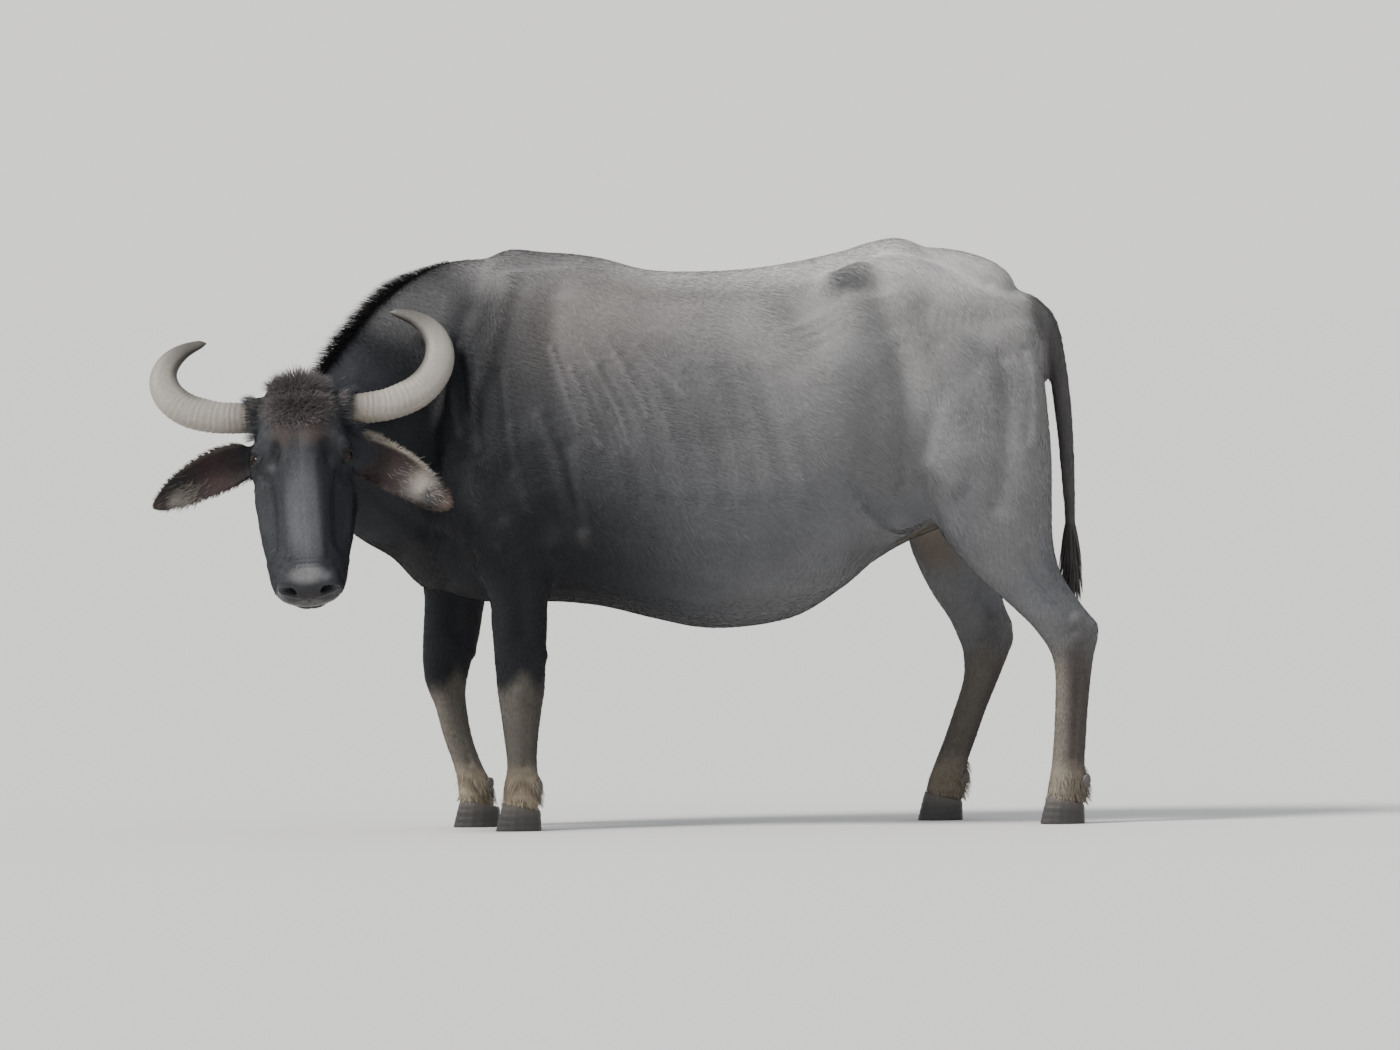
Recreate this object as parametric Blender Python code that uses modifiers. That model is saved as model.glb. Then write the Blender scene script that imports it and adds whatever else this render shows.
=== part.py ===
"""A water buffalo at life size, standing with its head turned toward its left side.

The animal faces -X, its left side faces -Y and its claws rest on z = 0. Sizes are in metres.
The flesh is lofted from the outlines below, joined into one surface and smoothed, and then
parted into nodes by plain zones that leave a thin gap between neighbours.
"""

import math
import random

import bmesh
import bpy
import numpy as np
from mathutils import Matrix, Vector
from mathutils.bvhtree import BVHTree

GAP = 0.00035
HALF_GAP = GAP / 2
BODY_VOXEL = 0.0062
HEAD_VOXEL = 0.0036
BODY_ROUNDS = 10
TRUNK_BLUR = 34
HEAD_ROUNDS = 6
HEAD_BLUR = 5
TRUNK_FACES = 3300
LEG_FACES = 6200
HEAD_FACES = 2300
HAIR_SEED = 41
CREST_LOCKS = 21
POLL_LOCKS = (4, 4)
TUFT_LOCKS = 17
EAR_LOCKS = 6

# Torso rows: x, underline, level of the greatest width, top line, half width, power of the upper half
TORSO = (
    (-0.700, 0.660, 0.800, 0.980, 0.100, 2.0),
    (-0.620, 0.575, 0.870, 1.220, 0.190, 1.9),
    (-0.500, 0.548, 0.900, 1.398, 0.240, 1.85),
    (-0.360, 0.548, 0.880, 1.405, 0.264, 1.8),
    (-0.240, 0.535, 0.860, 1.391, 0.296, 1.8),
    (-0.120, 0.505, 0.840, 1.359, 0.330, 1.85),
    (0.000, 0.480, 0.820, 1.353, 0.360, 1.9),
    (0.120, 0.482, 0.820, 1.357, 0.375, 1.95),
    (0.240, 0.508, 0.840, 1.373, 0.368, 2.0),
    (0.350, 0.576, 0.890, 1.396, 0.335, 2.1),
    (0.420, 0.633, 0.950, 1.417, 0.300, 2.1),
    (0.500, 0.680, 0.990, 1.427, 0.268, 1.95),
    (0.600, 0.720, 1.010, 1.378, 0.232, 1.9),
    (0.720, 0.778, 1.030, 1.314, 0.192, 1.95),
    (0.810, 0.870, 1.060, 1.266, 0.135, 2.0),
    (0.845, 0.950, 1.080, 1.190, 0.075, 2.0),
)

# Neck rows: crest point, throat point, half width
NECK = (
    ((-0.450, 0.000, 1.392), (-0.500, 0.000, 0.600), 0.225),
    ((-0.600, -0.005, 1.386), (-0.660, -0.010, 0.580), 0.215),
    ((-0.700, -0.030, 1.344), (-0.735, -0.035, 0.655), 0.182),
    ((-0.785, -0.080, 1.280), (-0.795, -0.090, 0.698), 0.150),
    ((-0.858, -0.140, 1.197), (-0.850, -0.155, 0.752), 0.128),
    ((-0.930, -0.215, 1.100), (-0.925, -0.235, 0.850), 0.095),
)

# Leg outlines, as rows of height, front edge and rear edge
FORE_LEFT = (
    (1.250, -0.500, -0.330),
    (1.050, -0.560, -0.330),
    (0.900, -0.600, -0.345),
    (0.750, -0.595, -0.325),
    (0.650, -0.555, -0.338),
    (0.559, -0.516, -0.367),
    (0.510, -0.512, -0.370),
    (0.437, -0.506, -0.374),
    (0.377, -0.500, -0.377),
    (0.340, -0.499, -0.379),
    (0.292, -0.493, -0.387),
    (0.219, -0.484, -0.397),
    (0.158, -0.478, -0.400),
    (0.109, -0.486, -0.395),
    (0.073, -0.487, -0.398),
    (0.020, -0.496, -0.396),
)
FORE_RIGHT = (
    (1.250, -0.500, -0.330),
    (1.050, -0.590, -0.350),
    (0.900, -0.660, -0.400),
    (0.750, -0.690, -0.450),
    (0.650, -0.690, -0.485),
    (0.561, -0.678, -0.522),
    (0.464, -0.683, -0.540),
    (0.403, -0.682, -0.560),
    (0.343, -0.674, -0.574),
    (0.294, -0.655, -0.573),
    (0.221, -0.636, -0.561),
    (0.160, -0.615, -0.541),
    (0.112, -0.603, -0.520),
    (0.075, -0.598, -0.514),
    (0.020, -0.604, -0.500),
)
HIND_LEFT = (
    (1.220, 0.575, 0.785),
    (1.100, 0.530, 0.838),
    (1.000, 0.520, 0.850),
    (0.900, 0.522, 0.857),
    (0.800, 0.540, 0.857),
    (0.700, 0.585, 0.857),
    (0.633, 0.639, 0.867),
    (0.584, 0.688, 0.889),
    (0.535, 0.741, 0.922),
    (0.486, 0.792, 0.958),
    (0.450, 0.821, 0.963),
    (0.413, 0.843, 0.954),
    (0.364, 0.853, 0.946),
    (0.291, 0.852, 0.938),
    (0.219, 0.848, 0.932),
    (0.146, 0.842, 0.927),
    (0.097, 0.835, 0.932),
    (0.061, 0.831, 0.928),
    (0.020, 0.824, 0.923),
)
HIND_RIGHT = (
    (1.220, 0.575, 0.785),
    (1.100, 0.530, 0.838),
    (1.000, 0.515, 0.845),
    (0.900, 0.505, 0.835),
    (0.800, 0.498, 0.815),
    (0.700, 0.502, 0.780),
    (0.637, 0.522, 0.750),
    (0.588, 0.544, 0.735),
    (0.539, 0.571, 0.740),
    (0.491, 0.603, 0.755),
    (0.442, 0.625, 0.765),
    (0.406, 0.636, 0.753),
    (0.345, 0.636, 0.728),
    (0.272, 0.613, 0.697),
    (0.199, 0.587, 0.670),
    (0.139, 0.563, 0.648),
    (0.102, 0.550, 0.645),
    (0.066, 0.543, 0.638),
    (0.020, 0.534, 0.633),
)

# Leg breadths, as rows of height, distance of the centre from the midplane and half width
FORE_BREADTH = (
    (1.250, 0.085, 0.050),
    (1.050, 0.128, 0.085),
    (0.900, 0.148, 0.098),
    (0.750, 0.155, 0.098),
    (0.650, 0.158, 0.086),
    (0.560, 0.158, 0.067),
    (0.510, 0.158, 0.060),
    (0.437, 0.158, 0.052),
    (0.377, 0.158, 0.048),
    (0.340, 0.158, 0.048),
    (0.292, 0.158, 0.040),
    (0.219, 0.158, 0.032),
    (0.158, 0.158, 0.032),
    (0.109, 0.158, 0.041),
    (0.073, 0.158, 0.040),
    (0.020, 0.158, 0.050),
)
HIND_BREADTH = (
    (1.220, 0.090, 0.062),
    (1.100, 0.125, 0.090),
    (1.000, 0.142, 0.108),
    (0.900, 0.156, 0.114),
    (0.800, 0.163, 0.107),
    (0.700, 0.167, 0.092),
    (0.633, 0.170, 0.078),
    (0.584, 0.171, 0.068),
    (0.535, 0.172, 0.058),
    (0.486, 0.172, 0.050),
    (0.450, 0.172, 0.046),
    (0.413, 0.172, 0.042),
    (0.364, 0.172, 0.036),
    (0.291, 0.172, 0.032),
    (0.219, 0.172, 0.031),
    (0.146, 0.172, 0.034),
    (0.097, 0.172, 0.042),
    (0.061, 0.172, 0.040),
    (0.020, 0.172, 0.050),
)

# Each leg: outline, breadths, side (-1 is the animal's left), sole front, sole rear
LEGS = {
    "foreleg_left": (FORE_LEFT, FORE_BREADTH, -1.0, -0.506, -0.394),
    "foreleg_right": (FORE_RIGHT, FORE_BREADTH, 0.86, -0.613, -0.497),
    "hindleg_left": (HIND_LEFT, HIND_BREADTH, -1.0, 0.814, 0.923),
    "hindleg_right": (HIND_RIGHT, HIND_BREADTH, 0.97, 0.522, 0.633),
}
REAR_PINCH = 0.22

# The zone of each leg node: front, rear, distance from the midplane, top at the front and at the rear
LEG_ZONES = {
    "foreleg_left": (-0.640, -0.335, 0.070, 0.665, 0.610),
    "foreleg_right": (-0.760, -0.465, 0.056, 0.690, 0.630),
    "hindleg_left": (0.505, 1.050, 0.052, 0.715, 0.815),
    "hindleg_right": (0.475, 0.920, 0.050, 0.690, 0.800),
}

# Where the head and the neck part, as a point and the direction toward the muzzle
FACE_CUT = Vector((-0.880, -0.110, 1.000))
FACE_NORMAL = Vector((-0.50, -0.80, -0.15)).normalized()
NECK_CUT = Vector((-0.600, 0.000, 1.000))
NECK_NORMAL = Vector((-0.977, 0.000, 0.213)).normalized()

CORONET_FRONT = 0.074
CORONET_REAR = 0.046
CLAW_CLEFT = 0.010
CLAW_WIDTH = 0.054

# Head frame: u runs from the poll to the muzzle, v to the animal's left, w out of the forehead
HEAD_YAW = math.radians(1.0)
HEAD_PITCH = math.radians(64.0)
HEAD_ROLL = math.radians(3.2)
FOREHEAD = Vector((-0.965, -0.290, 1.028))
FOREHEAD_U = 0.060

# Head rows: u, top w, w of the greatest width, bottom w, half width, power of the upper half
HEAD = (
    (-0.030, -0.035, -0.090, -0.160, 0.080, 2.2),
    (0.020, 0.012, -0.080, -0.220, 0.106, 2.4),
    (0.080, 0.030, -0.090, -0.250, 0.118, 2.5),
    (0.140, 0.036, -0.100, -0.262, 0.121, 2.3),
    (0.200, 0.030, -0.120, -0.250, 0.123, 2.0),
    (0.250, 0.018, -0.130, -0.232, 0.123, 1.8),
    (0.300, 0.010, -0.128, -0.214, 0.121, 1.7),
    (0.350, 0.005, -0.118, -0.195, 0.115, 1.7),
    (0.400, 0.002, -0.105, -0.176, 0.105, 1.8),
    (0.440, 0.000, -0.095, -0.160, 0.097, 2.0),
    (0.475, -0.004, -0.085, -0.148, 0.092, 2.3),
    (0.505, -0.014, -0.080, -0.137, 0.085, 2.3),
    (0.528, -0.032, -0.078, -0.120, 0.069, 2.2),
    (0.540, -0.055, -0.078, -0.100, 0.042, 2.0),
)
EYE_RADIUS = 0.0205
EYE = (0.167, 0.103, -0.048)
LID_THICKNESS = 0.0058
LID_OPENING = (0.0190, 0.0105)
NOSTRIL = (0.513, 0.045, -0.032)
NOSTRIL_SIZE = (0.020, 0.0165, 0.0125)
MOUTH_LINE = (
    (0.544, 0.000, -0.100),
    (0.538, 0.030, -0.101),
    (0.517, 0.062, -0.104),
    (0.477, 0.083, -0.110),
    (0.430, 0.093, -0.116),
    (0.385, 0.101, -0.118),
    (0.345, 0.108, -0.112),
)

# Horn rows: v, height above the forehead point, w, radius in the plane of the arc, radius across it
HORN = (
    (0.086, 0.010, -0.048, 0.037, 0.032),
    (0.130, 0.013, -0.046, 0.038, 0.032),
    (0.170, 0.014, -0.043, 0.039, 0.031),
    (0.207, 0.017, -0.040, 0.040, 0.030),
    (0.245, 0.026, -0.036, 0.042, 0.030),
    (0.280, 0.040, -0.033, 0.042, 0.029),
    (0.310, 0.063, -0.030, 0.041, 0.028),
    (0.332, 0.095, -0.028, 0.039, 0.026),
    (0.340, 0.130, -0.026, 0.036, 0.024),
    (0.334, 0.163, -0.024, 0.031, 0.021),
    (0.315, 0.192, -0.022, 0.026, 0.018),
    (0.285, 0.215, -0.020, 0.019, 0.014),
    (0.250, 0.229, -0.019, 0.012, 0.009),
    (0.226, 0.234, -0.019, 0.006, 0.005),
)
HORN_SIDES = 12
HORN_RISE = {"left": 1.09, "right": 0.88}
HORN_SPREAD = {"left": 1.02, "right": 0.955}

# Ear rows: share of the length, half width, depth of the cup, thickness
EAR = (
    (0.00, 0.030, 0.004, 0.044),
    (0.10, 0.040, 0.014, 0.032),
    (0.22, 0.050, 0.024, 0.018),
    (0.36, 0.054, 0.027, 0.011),
    (0.50, 0.053, 0.025, 0.008),
    (0.64, 0.048, 0.020, 0.007),
    (0.77, 0.039, 0.014, 0.006),
    (0.88, 0.028, 0.008, 0.006),
    (0.96, 0.015, 0.003, 0.005),
    (1.00, 0.006, 0.001, 0.004),
)

# Each ear: side of the head, w of its root, tip in the world, direction the cup faces, rise of its middle
EARS = {
    "left": (1.0, -0.100, (-0.600, -0.340, 0.792), (0.10, -1.0, 0.05), 0.012),
    "right": (-1.0, -0.110, (-1.322, -0.260, 0.797), (-0.15, -1.0, 0.10), 0.010),
}

# Tail rows: x, y, z, radius
TAIL = (
    (0.745, 0.000, 1.262, 0.034),
    (0.800, 0.000, 1.256, 0.036),
    (0.846, 0.002, 1.206, 0.033),
    (0.872, 0.004, 1.110, 0.027),
    (0.889, 0.004, 0.980, 0.023),
    (0.897, 0.003, 0.840, 0.019),
    (0.900, 0.002, 0.760, 0.016),
    (0.901, 0.001, 0.700, 0.014),
)
TUFT = (
    (0.901, 0.001, 0.6995, 0.014),
    (0.901, 0.001, 0.660, 0.018),
    (0.902, 0.001, 0.610, 0.017),
    (0.906, 0.001, 0.560, 0.010),
    (0.910, 0.001, 0.530, 0.004),
)


def clear_scene():
    """Removes everything the startup scene holds."""
    for thing in list(bpy.data.objects):
        bpy.data.objects.remove(thing, do_unlink=True)


def head_frame():
    """The matrix that carries head coordinates (u, v, w) into the world."""
    facing = Vector((-math.sin(HEAD_YAW), -math.cos(HEAD_YAW), 0.0))
    upright = Vector((0.0, 0.0, 1.0))
    along = facing * math.cos(HEAD_PITCH) - upright * math.sin(HEAD_PITCH)
    left = Vector((-facing.y, facing.x, 0.0))
    out = facing * math.sin(HEAD_PITCH) + upright * math.cos(HEAD_PITCH)
    roll = Matrix.Rotation(HEAD_ROLL, 3, facing)
    axes = Matrix((roll @ along, roll @ left, roll @ out)).transposed()
    origin = FOREHEAD - axes @ Vector((FOREHEAD_U, 0.0, 0.0))
    return Matrix.Translation(origin) @ axes.to_4x4()


HEAD_FRAME = head_frame()


def on_head(u, v, w):
    """A point of the head frame, in the world."""
    return HEAD_FRAME @ Vector((u, v, w))


def head_direction(u, v, w):
    """A direction of the head frame, in the world, of length one."""
    return (HEAD_FRAME.to_3x3() @ Vector((u, v, w))).normalized()


def smooth_rows(rows, steps):
    """Rows between the given ones, along a spline that passes through each of them."""
    keys = np.array(rows, float)
    padded = np.vstack([2 * keys[0] - keys[1], keys, 2 * keys[-1] - keys[-2]])
    found = []
    for i in range(len(keys) - 1):
        a, b, c, d = padded[i : i + 4]
        for t in np.arange(steps) / steps:
            bend = 2 * a - 5 * b + 4 * c - d
            twist = 3 * (b - c) + d - a
            found.append(b + 0.5 * t * (c - a + t * (bend + t * twist)))
    found.append(keys[-1])
    return np.array(found)


def superellipse(half_width, up, down, power_up, power_down, count):
    """Points of a closed section whose halves above and below its widest level may differ."""
    angles = np.arange(count) * 2 * np.pi / count
    cosine, sine = np.cos(angles), np.sin(angles)
    power = np.where(sine >= 0, power_up, power_down)
    across = half_width * np.sign(cosine) * np.abs(cosine) ** (2 / power)
    height = np.where(sine >= 0, up, down) * np.sign(sine) * np.abs(sine) ** (2 / power)
    return across, height


def loft(rings):
    """A closed shell over rings of equal point counts, with a flat cap at each end."""
    rings = np.asarray(rings, float)
    rows, count = rings.shape[:2]
    points = rings.reshape(-1, 3)
    faces = [tuple(range(count))]
    for i in range(rows - 1):
        for j in range(count):
            k = (j + 1) % count
            faces.append((i * count + k, i * count + j, (i + 1) * count + j, (i + 1) * count + k))
    faces.append(tuple(range(rows * count - 1, (rows - 1) * count - 1, -1)))
    return points, faces


def ball(centre, radii, axes=None, sides=20, rows=12):
    """An ellipsoid, with its radii along the columns of a 3 x 3 matrix of axes."""
    spans = np.arange(1, rows) * np.pi / rows
    turns = np.arange(sides) * 2 * np.pi / sides
    points = [(0.0, 0.0, 1.0)]
    for span in spans:
        for turn in turns:
            points.append((math.sin(span) * math.cos(turn), math.sin(span) * math.sin(turn), math.cos(span)))
    points.append((0.0, 0.0, -1.0))
    points = np.array(points) * np.array(radii)
    turned = points if axes is None else points @ np.array(axes).T
    last = len(points) - 1
    faces = []
    for j in range(sides):
        k = (j + 1) % sides
        faces.append((0, 1 + j, 1 + k))
        faces.append((last, last - sides + k, last - sides + j))
        for i in range(rows - 2):
            a = 1 + i * sides
            faces.append((a + j, a + sides + j, a + sides + k, a + k))
    return turned + np.array(centre), faces


def tube(rows, sides=12, flatten=1.0):
    """A round bar along rows of x, y, z, radius, with closed ends."""
    rows = np.asarray(rows, float)
    path = rows[:, :3]
    tangents = np.gradient(path, axis=0)
    tangents /= np.linalg.norm(tangents, axis=1)[:, None]
    reference = np.array((0.0, 1.0, 0.0))
    if np.abs(tangents @ reference).max() > 0.9:
        reference = np.array((1.0, 0.0, 0.0))
    rings = []
    for point, tangent, radius in zip(path, tangents, rows[:, 3]):
        first = np.cross(tangent, reference)
        first /= np.linalg.norm(first)
        second = np.cross(tangent, first)
        turns = np.arange(sides) * 2 * np.pi / sides
        around = np.outer(np.cos(turns), first) + flatten * np.outer(np.sin(turns), second)
        rings.append(point + radius * around)
    return loft(rings)


def make_object(name, shells):
    """One mesh object from a list of shells, each facing outward."""
    points, faces = [], []
    start = 0
    for shell_points, shell_faces in shells:
        points.extend(map(tuple, np.asarray(shell_points, float)))
        faces.extend(tuple(start + i for i in face) for face in shell_faces)
        start += len(shell_points)
    mesh = bpy.data.meshes.new(name)
    mesh.from_pydata(points, [], faces)
    mesh.validate()
    made = bpy.data.objects.new(name, mesh)
    bpy.context.scene.collection.objects.link(made)
    turn_outward(made)
    return made


def turn_outward(thing):
    """Makes the normals of a closed mesh face outward."""
    work = bmesh.new()
    work.from_mesh(thing.data)
    bmesh.ops.recalc_face_normals(work, faces=work.faces)
    work.to_mesh(thing.data)
    work.free()


def apply_modifiers(thing):
    """Replaces an object's mesh with its evaluated one."""
    graph = bpy.context.evaluated_depsgraph_get()
    graph.update()
    mesh = bpy.data.meshes.new_from_object(thing.evaluated_get(graph))
    thing.modifiers.clear()
    thing.data = mesh


def copy_of(thing, name):
    """A separate object with the same shape."""
    made = bpy.data.objects.new(name, thing.data.copy())
    bpy.context.scene.collection.objects.link(made)
    return made


def remesh(thing, voxel):
    """Turns overlapping shells into the one surface around them."""
    modifier = thing.modifiers.new("whole", "REMESH")
    modifier.mode = "VOXEL"
    modifier.voxel_size = voxel
    apply_modifiers(thing)


def decimate(thing, target):
    """Cuts a mesh down to about the target count of triangles."""
    modifier = thing.modifiers.new("coarser", "DECIMATE")
    triangles = sum(len(face.vertices) - 2 for face in thing.data.polygons)
    modifier.ratio = target / triangles
    modifier.use_collapse_triangulate = True
    apply_modifiers(thing)


def boolean(thing, other, operation):
    """Applies an exact Boolean with another object and removes that object."""
    modifier = thing.modifiers.new("cut", "BOOLEAN")
    modifier.operation = operation
    modifier.solver = "EXACT"
    modifier.object = other
    apply_modifiers(thing)
    bpy.data.objects.remove(other, do_unlink=True)


def union_all(thing, others):
    """Fuses objects into one by a single Boolean union, and removes them."""
    group = bpy.data.collections.new("pieces")
    bpy.context.scene.collection.children.link(group)
    for other in others:
        group.objects.link(other)
    modifier = thing.modifiers.new("fuse", "BOOLEAN")
    modifier.operation = "UNION"
    modifier.solver = "EXACT"
    modifier.operand_type = "COLLECTION"
    modifier.collection = group
    apply_modifiers(thing)
    for other in others:
        bpy.data.objects.remove(other, do_unlink=True)
    bpy.data.collections.remove(group)


def keep_largest(thing):
    """Keeps only the largest closed surface of a mesh."""
    work = bmesh.new()
    work.from_mesh(thing.data)
    work.verts.ensure_lookup_table()
    seen = set()
    groups = []
    for vert in work.verts:
        if vert in seen:
            continue
        group, front = [], [vert]
        seen.add(vert)
        while front:
            here = front.pop()
            group.append(here)
            for edge in here.link_edges:
                there = edge.other_vert(here)
                if there not in seen:
                    seen.add(there)
                    front.append(there)
        groups.append(group)
    groups.sort(key=len)
    for group in groups[:-1]:
        bmesh.ops.delete(work, geom=group, context="VERTS")
    work.to_mesh(thing.data)
    work.free()


def slice_off(thing, point, normal):
    """Removes what lies on the side the normal points to, and closes the cut."""
    work = bmesh.new()
    work.from_mesh(thing.data)
    cut = bmesh.ops.bisect_plane(
        work,
        geom=work.verts[:] + work.edges[:] + work.faces[:],
        dist=1e-7,
        plane_co=point,
        plane_no=normal,
        clear_outer=True,
    )
    rim = [edge for edge in cut["geom_cut"] if isinstance(edge, bmesh.types.BMEdge)]
    rim = [edge for edge in rim if edge.is_boundary]
    bmesh.ops.triangle_fill(work, use_beauty=True, edges=rim)
    bmesh.ops.recalc_face_normals(work, faces=work.faces)
    work.to_mesh(thing.data)
    work.free()


def read_points(thing):
    """The vertices of a mesh, as rows."""
    points = np.empty(len(thing.data.vertices) * 3)
    thing.data.vertices.foreach_get("co", points)
    return points.reshape(-1, 3)


def write_points(thing, points):
    """Moves the vertices of a mesh to the rows given."""
    thing.data.vertices.foreach_set("co", np.ascontiguousarray(points, float).ravel())
    thing.data.update()


def read_normals(thing):
    """The vertex normals of a mesh, as rows."""
    normals = np.empty(len(thing.data.vertices) * 3, np.float32)
    thing.data.vertex_normals.foreach_get("vector", normals)
    return normals.reshape(-1, 3).astype(float)


def relax(thing, rounds, blur=0, above=-1.0, over=1.0):
    """Smooths a mesh while holding its volume, after an even blur that fades in above a height."""
    points = read_points(thing)
    edges = np.empty(len(thing.data.edges) * 2, np.int32)
    thing.data.edges.foreach_get("vertices", edges)
    first, second = edges.reshape(-1, 2).T
    size = len(points)
    counts = np.bincount(first, minlength=size) + np.bincount(second, minlength=size)
    share = np.clip((points[:, 2] - above) / over, 0.0, 1.0)[:, None]
    for factor in [0.5 * share] * blur + [0.55, -0.57] * rounds:
        pull = np.empty_like(points)
        for axis in range(3):
            there = np.bincount(first, points[second, axis], size)
            back = np.bincount(second, points[first, axis], size)
            pull[:, axis] = (there + back) / counts - points[:, axis]
        points = points + factor * pull
    write_points(thing, points)


def swell(thing, path, width, height):
    """Raises the surface along a path by a rounded ridge, or sinks it with a negative height."""
    points = read_points(thing)
    line = smooth_rows(path, 24) if len(path) > 1 else np.array(path, float)
    nearest = np.full(len(points), np.inf)
    for spot in line:
        nearest = np.minimum(nearest, ((points - spot) ** 2).sum(axis=1))
    lift = height * np.exp(-nearest / width**2)
    write_points(thing, points + read_normals(thing) * lift[:, None])


def grown(thing, name, distance):
    """A copy of a closed mesh with its surface moved outward."""
    made = copy_of(thing, name)
    work = bmesh.new()
    work.from_mesh(made.data)
    bmesh.ops.triangulate(work, faces=work.faces)
    work.to_mesh(made.data)
    work.free()
    write_points(made, read_points(made) + read_normals(made) * distance)
    return made


def torso_shell():
    """The barrel of the body, from the chest to the tail head."""
    rings = []
    for x, low, wide, high, half_width, power in smooth_rows(TORSO, 4):
        across, height = superellipse(half_width, high - wide, wide - low, power, 2.15, 36)
        rings.append(np.column_stack([np.full(36, x), across, wide + height]))
    return loft(rings)


def neck_shell():
    """The neck, thin at the crest, from inside the shoulders to inside the head."""
    rows = np.array([(*crest, *throat, half) for crest, throat, half in NECK])
    rows = smooth_rows(rows, 4)
    centres = (rows[:, :3] + rows[:, 3:6]) / 2
    tangents = np.gradient(centres, axis=0)
    rings = []
    for row, centre, tangent in zip(rows, centres, tangents):
        rise = (row[:3] - row[3:6]) / 2
        side = np.cross(rise, tangent)
        side /= np.linalg.norm(side)
        across, height = superellipse(row[6], 1.0, 1.0, 1.8, 2.0, 32)
        narrowed = across * (1.0 - 0.22 * height)
        rings.append(centre + np.outer(narrowed, side) + np.outer(height, rise))
    return loft(rings)


def head_shell():
    """The head, from the poll to the muzzle."""
    rings = []
    axes = np.array(HEAD_FRAME.to_3x3())
    origin = np.array(HEAD_FRAME.translation)
    for u, top, wide, low, half_width, power in smooth_rows(HEAD, 4):
        across, height = superellipse(half_width, top - wide, wide - low, power, 1.9, 36)
        local = np.column_stack([np.full(36, u), across, wide + height])
        rings.append(origin + local @ axes.T)
    return loft(rings)


def leg_shell(outline, breadths, side):
    """A leg, as level rings from the shoulder or hip down into the hoof."""
    heights, fronts, rears = smooth_rows(outline, 3).T
    levels, centres, halves = np.array(breadths)[::-1].T
    rings = []
    for height, front, rear in zip(heights, fronts, rears):
        centre = np.interp(height, levels, centres)
        half = np.interp(height, levels, halves)
        angles = np.arange(26) * 2 * np.pi / 26
        cosine, sine = np.cos(angles), np.sin(angles)
        along = np.sign(cosine) * np.abs(cosine) ** 0.88
        across = np.sign(sine) * np.abs(sine) ** 0.88 * (1 - REAR_PINCH * along)
        x = (front + rear) / 2 + (rear - front) / 2 * along
        rings.append(np.column_stack([x, side * centre + half * across, np.full(26, height)]))
    return loft(rings)


def on_both_sides(centre, radii):
    """Two ellipsoids, mirrored in the midplane of the trunk."""
    x, y, z = centre
    return [ball((x, y, z), radii), ball((x, -y, z), radii)]


def head_ball(centre, radii):
    """An ellipsoid in head coordinates."""
    return ball(on_head(*centre), radii, HEAD_FRAME.to_3x3())


def head_pair(centre, radii):
    """Two ellipsoids in head coordinates, mirrored in the midplane of the head."""
    u, v, w = centre
    return [head_ball((u, v, w), radii), head_ball((u, -v, w), radii)]


def head_shells():
    """The shells that make the head and its bony and fleshy forms."""
    shells = [head_shell(), neck_shell()]
    shells += head_pair((0.152, 0.094, -0.028), (0.044, 0.026, 0.026))
    shells += head_pair(EYE, (EYE_RADIUS + LID_THICKNESS,) * 3)
    shells += head_pair((0.140, 0.106, -0.105), (0.080, 0.026, 0.030))
    shells += head_pair((0.235, 0.085, -0.165), (0.105, 0.038, 0.062))
    shells += head_pair((0.494, 0.052, -0.036), (0.032, 0.027, 0.023))
    shells += head_pair((0.470, 0.058, -0.082), (0.044, 0.035, 0.026))
    shells += head_pair((0.045, 0.092, -0.048), (0.050, 0.045, 0.045))
    shells.append(head_ball((0.505, 0.0, -0.121), (0.030, 0.050, 0.022)))
    shells.append(head_ball((0.012, 0.0, -0.040), (0.060, 0.088, 0.056)))
    return shells


def body_shells():
    """The shells that make the trunk and the legs."""
    shells = [torso_shell(), neck_shell(), head_shell()]
    for outline, breadths, side, _, _ in LEGS.values():
        shells.append(leg_shell(outline, breadths, side))
    shells += on_both_sides((0.600, 0.150, 1.090), (0.130, 0.075, 0.130))
    shells += on_both_sides((-0.610, 0.140, 0.820), (0.085, 0.072, 0.120))
    shells += on_both_sides((-0.430, 0.165, 0.810), (0.150, 0.090, 0.150))
    shells += on_both_sides((-0.470, 0.115, 1.040), (0.140, 0.088, 0.250))
    shells += on_both_sides((0.500, 0.175, 0.820), (0.090, 0.036, 0.110))
    shells.append(ball((0.540, 0.0, 1.300), (0.240, 0.090, 0.105)))
    return shells


def shape_body(body):
    """Sets the bony points, hollows and folds of the trunk into the smoothed surface."""
    for side in (-1.0, 1.0):
        swell(body, [(0.350, side * 0.225, 1.322), (0.400, side * 0.205, 1.345)], 0.036, 0.022)
        swell(body, [(0.280, side * 0.290, 1.220), (0.330, side * 0.290, 1.190)], 0.075, -0.026)
        swell(body, [(0.560, side * 0.215, 1.250), (0.700, side * 0.180, 1.215)], 0.060, -0.012)
        swell(body, [(0.805, side * 0.105, 1.210)], 0.036, 0.018)
        swell(body, [(-0.650, side * 0.185, 0.800)], 0.055, 0.014)
        swell(body, [(-0.345, side * 0.235, 0.690)], 0.040, 0.010)
        swell(body, [(-0.310, side * 0.270, 1.180), (-0.330, side * 0.290, 0.900)], 0.050, -0.010)
        swell(body, [(-0.560, side * 0.150, 1.260), (-0.610, side * 0.205, 0.980)], 0.040, -0.010)
        swell(body, [(-0.450, side * 0.090, 1.360), (-0.500, side * 0.215, 1.100)], 0.030, 0.006)
    swell(body, [crest for crest, _, _ in NECK[1:5]], 0.018, 0.012)


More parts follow.
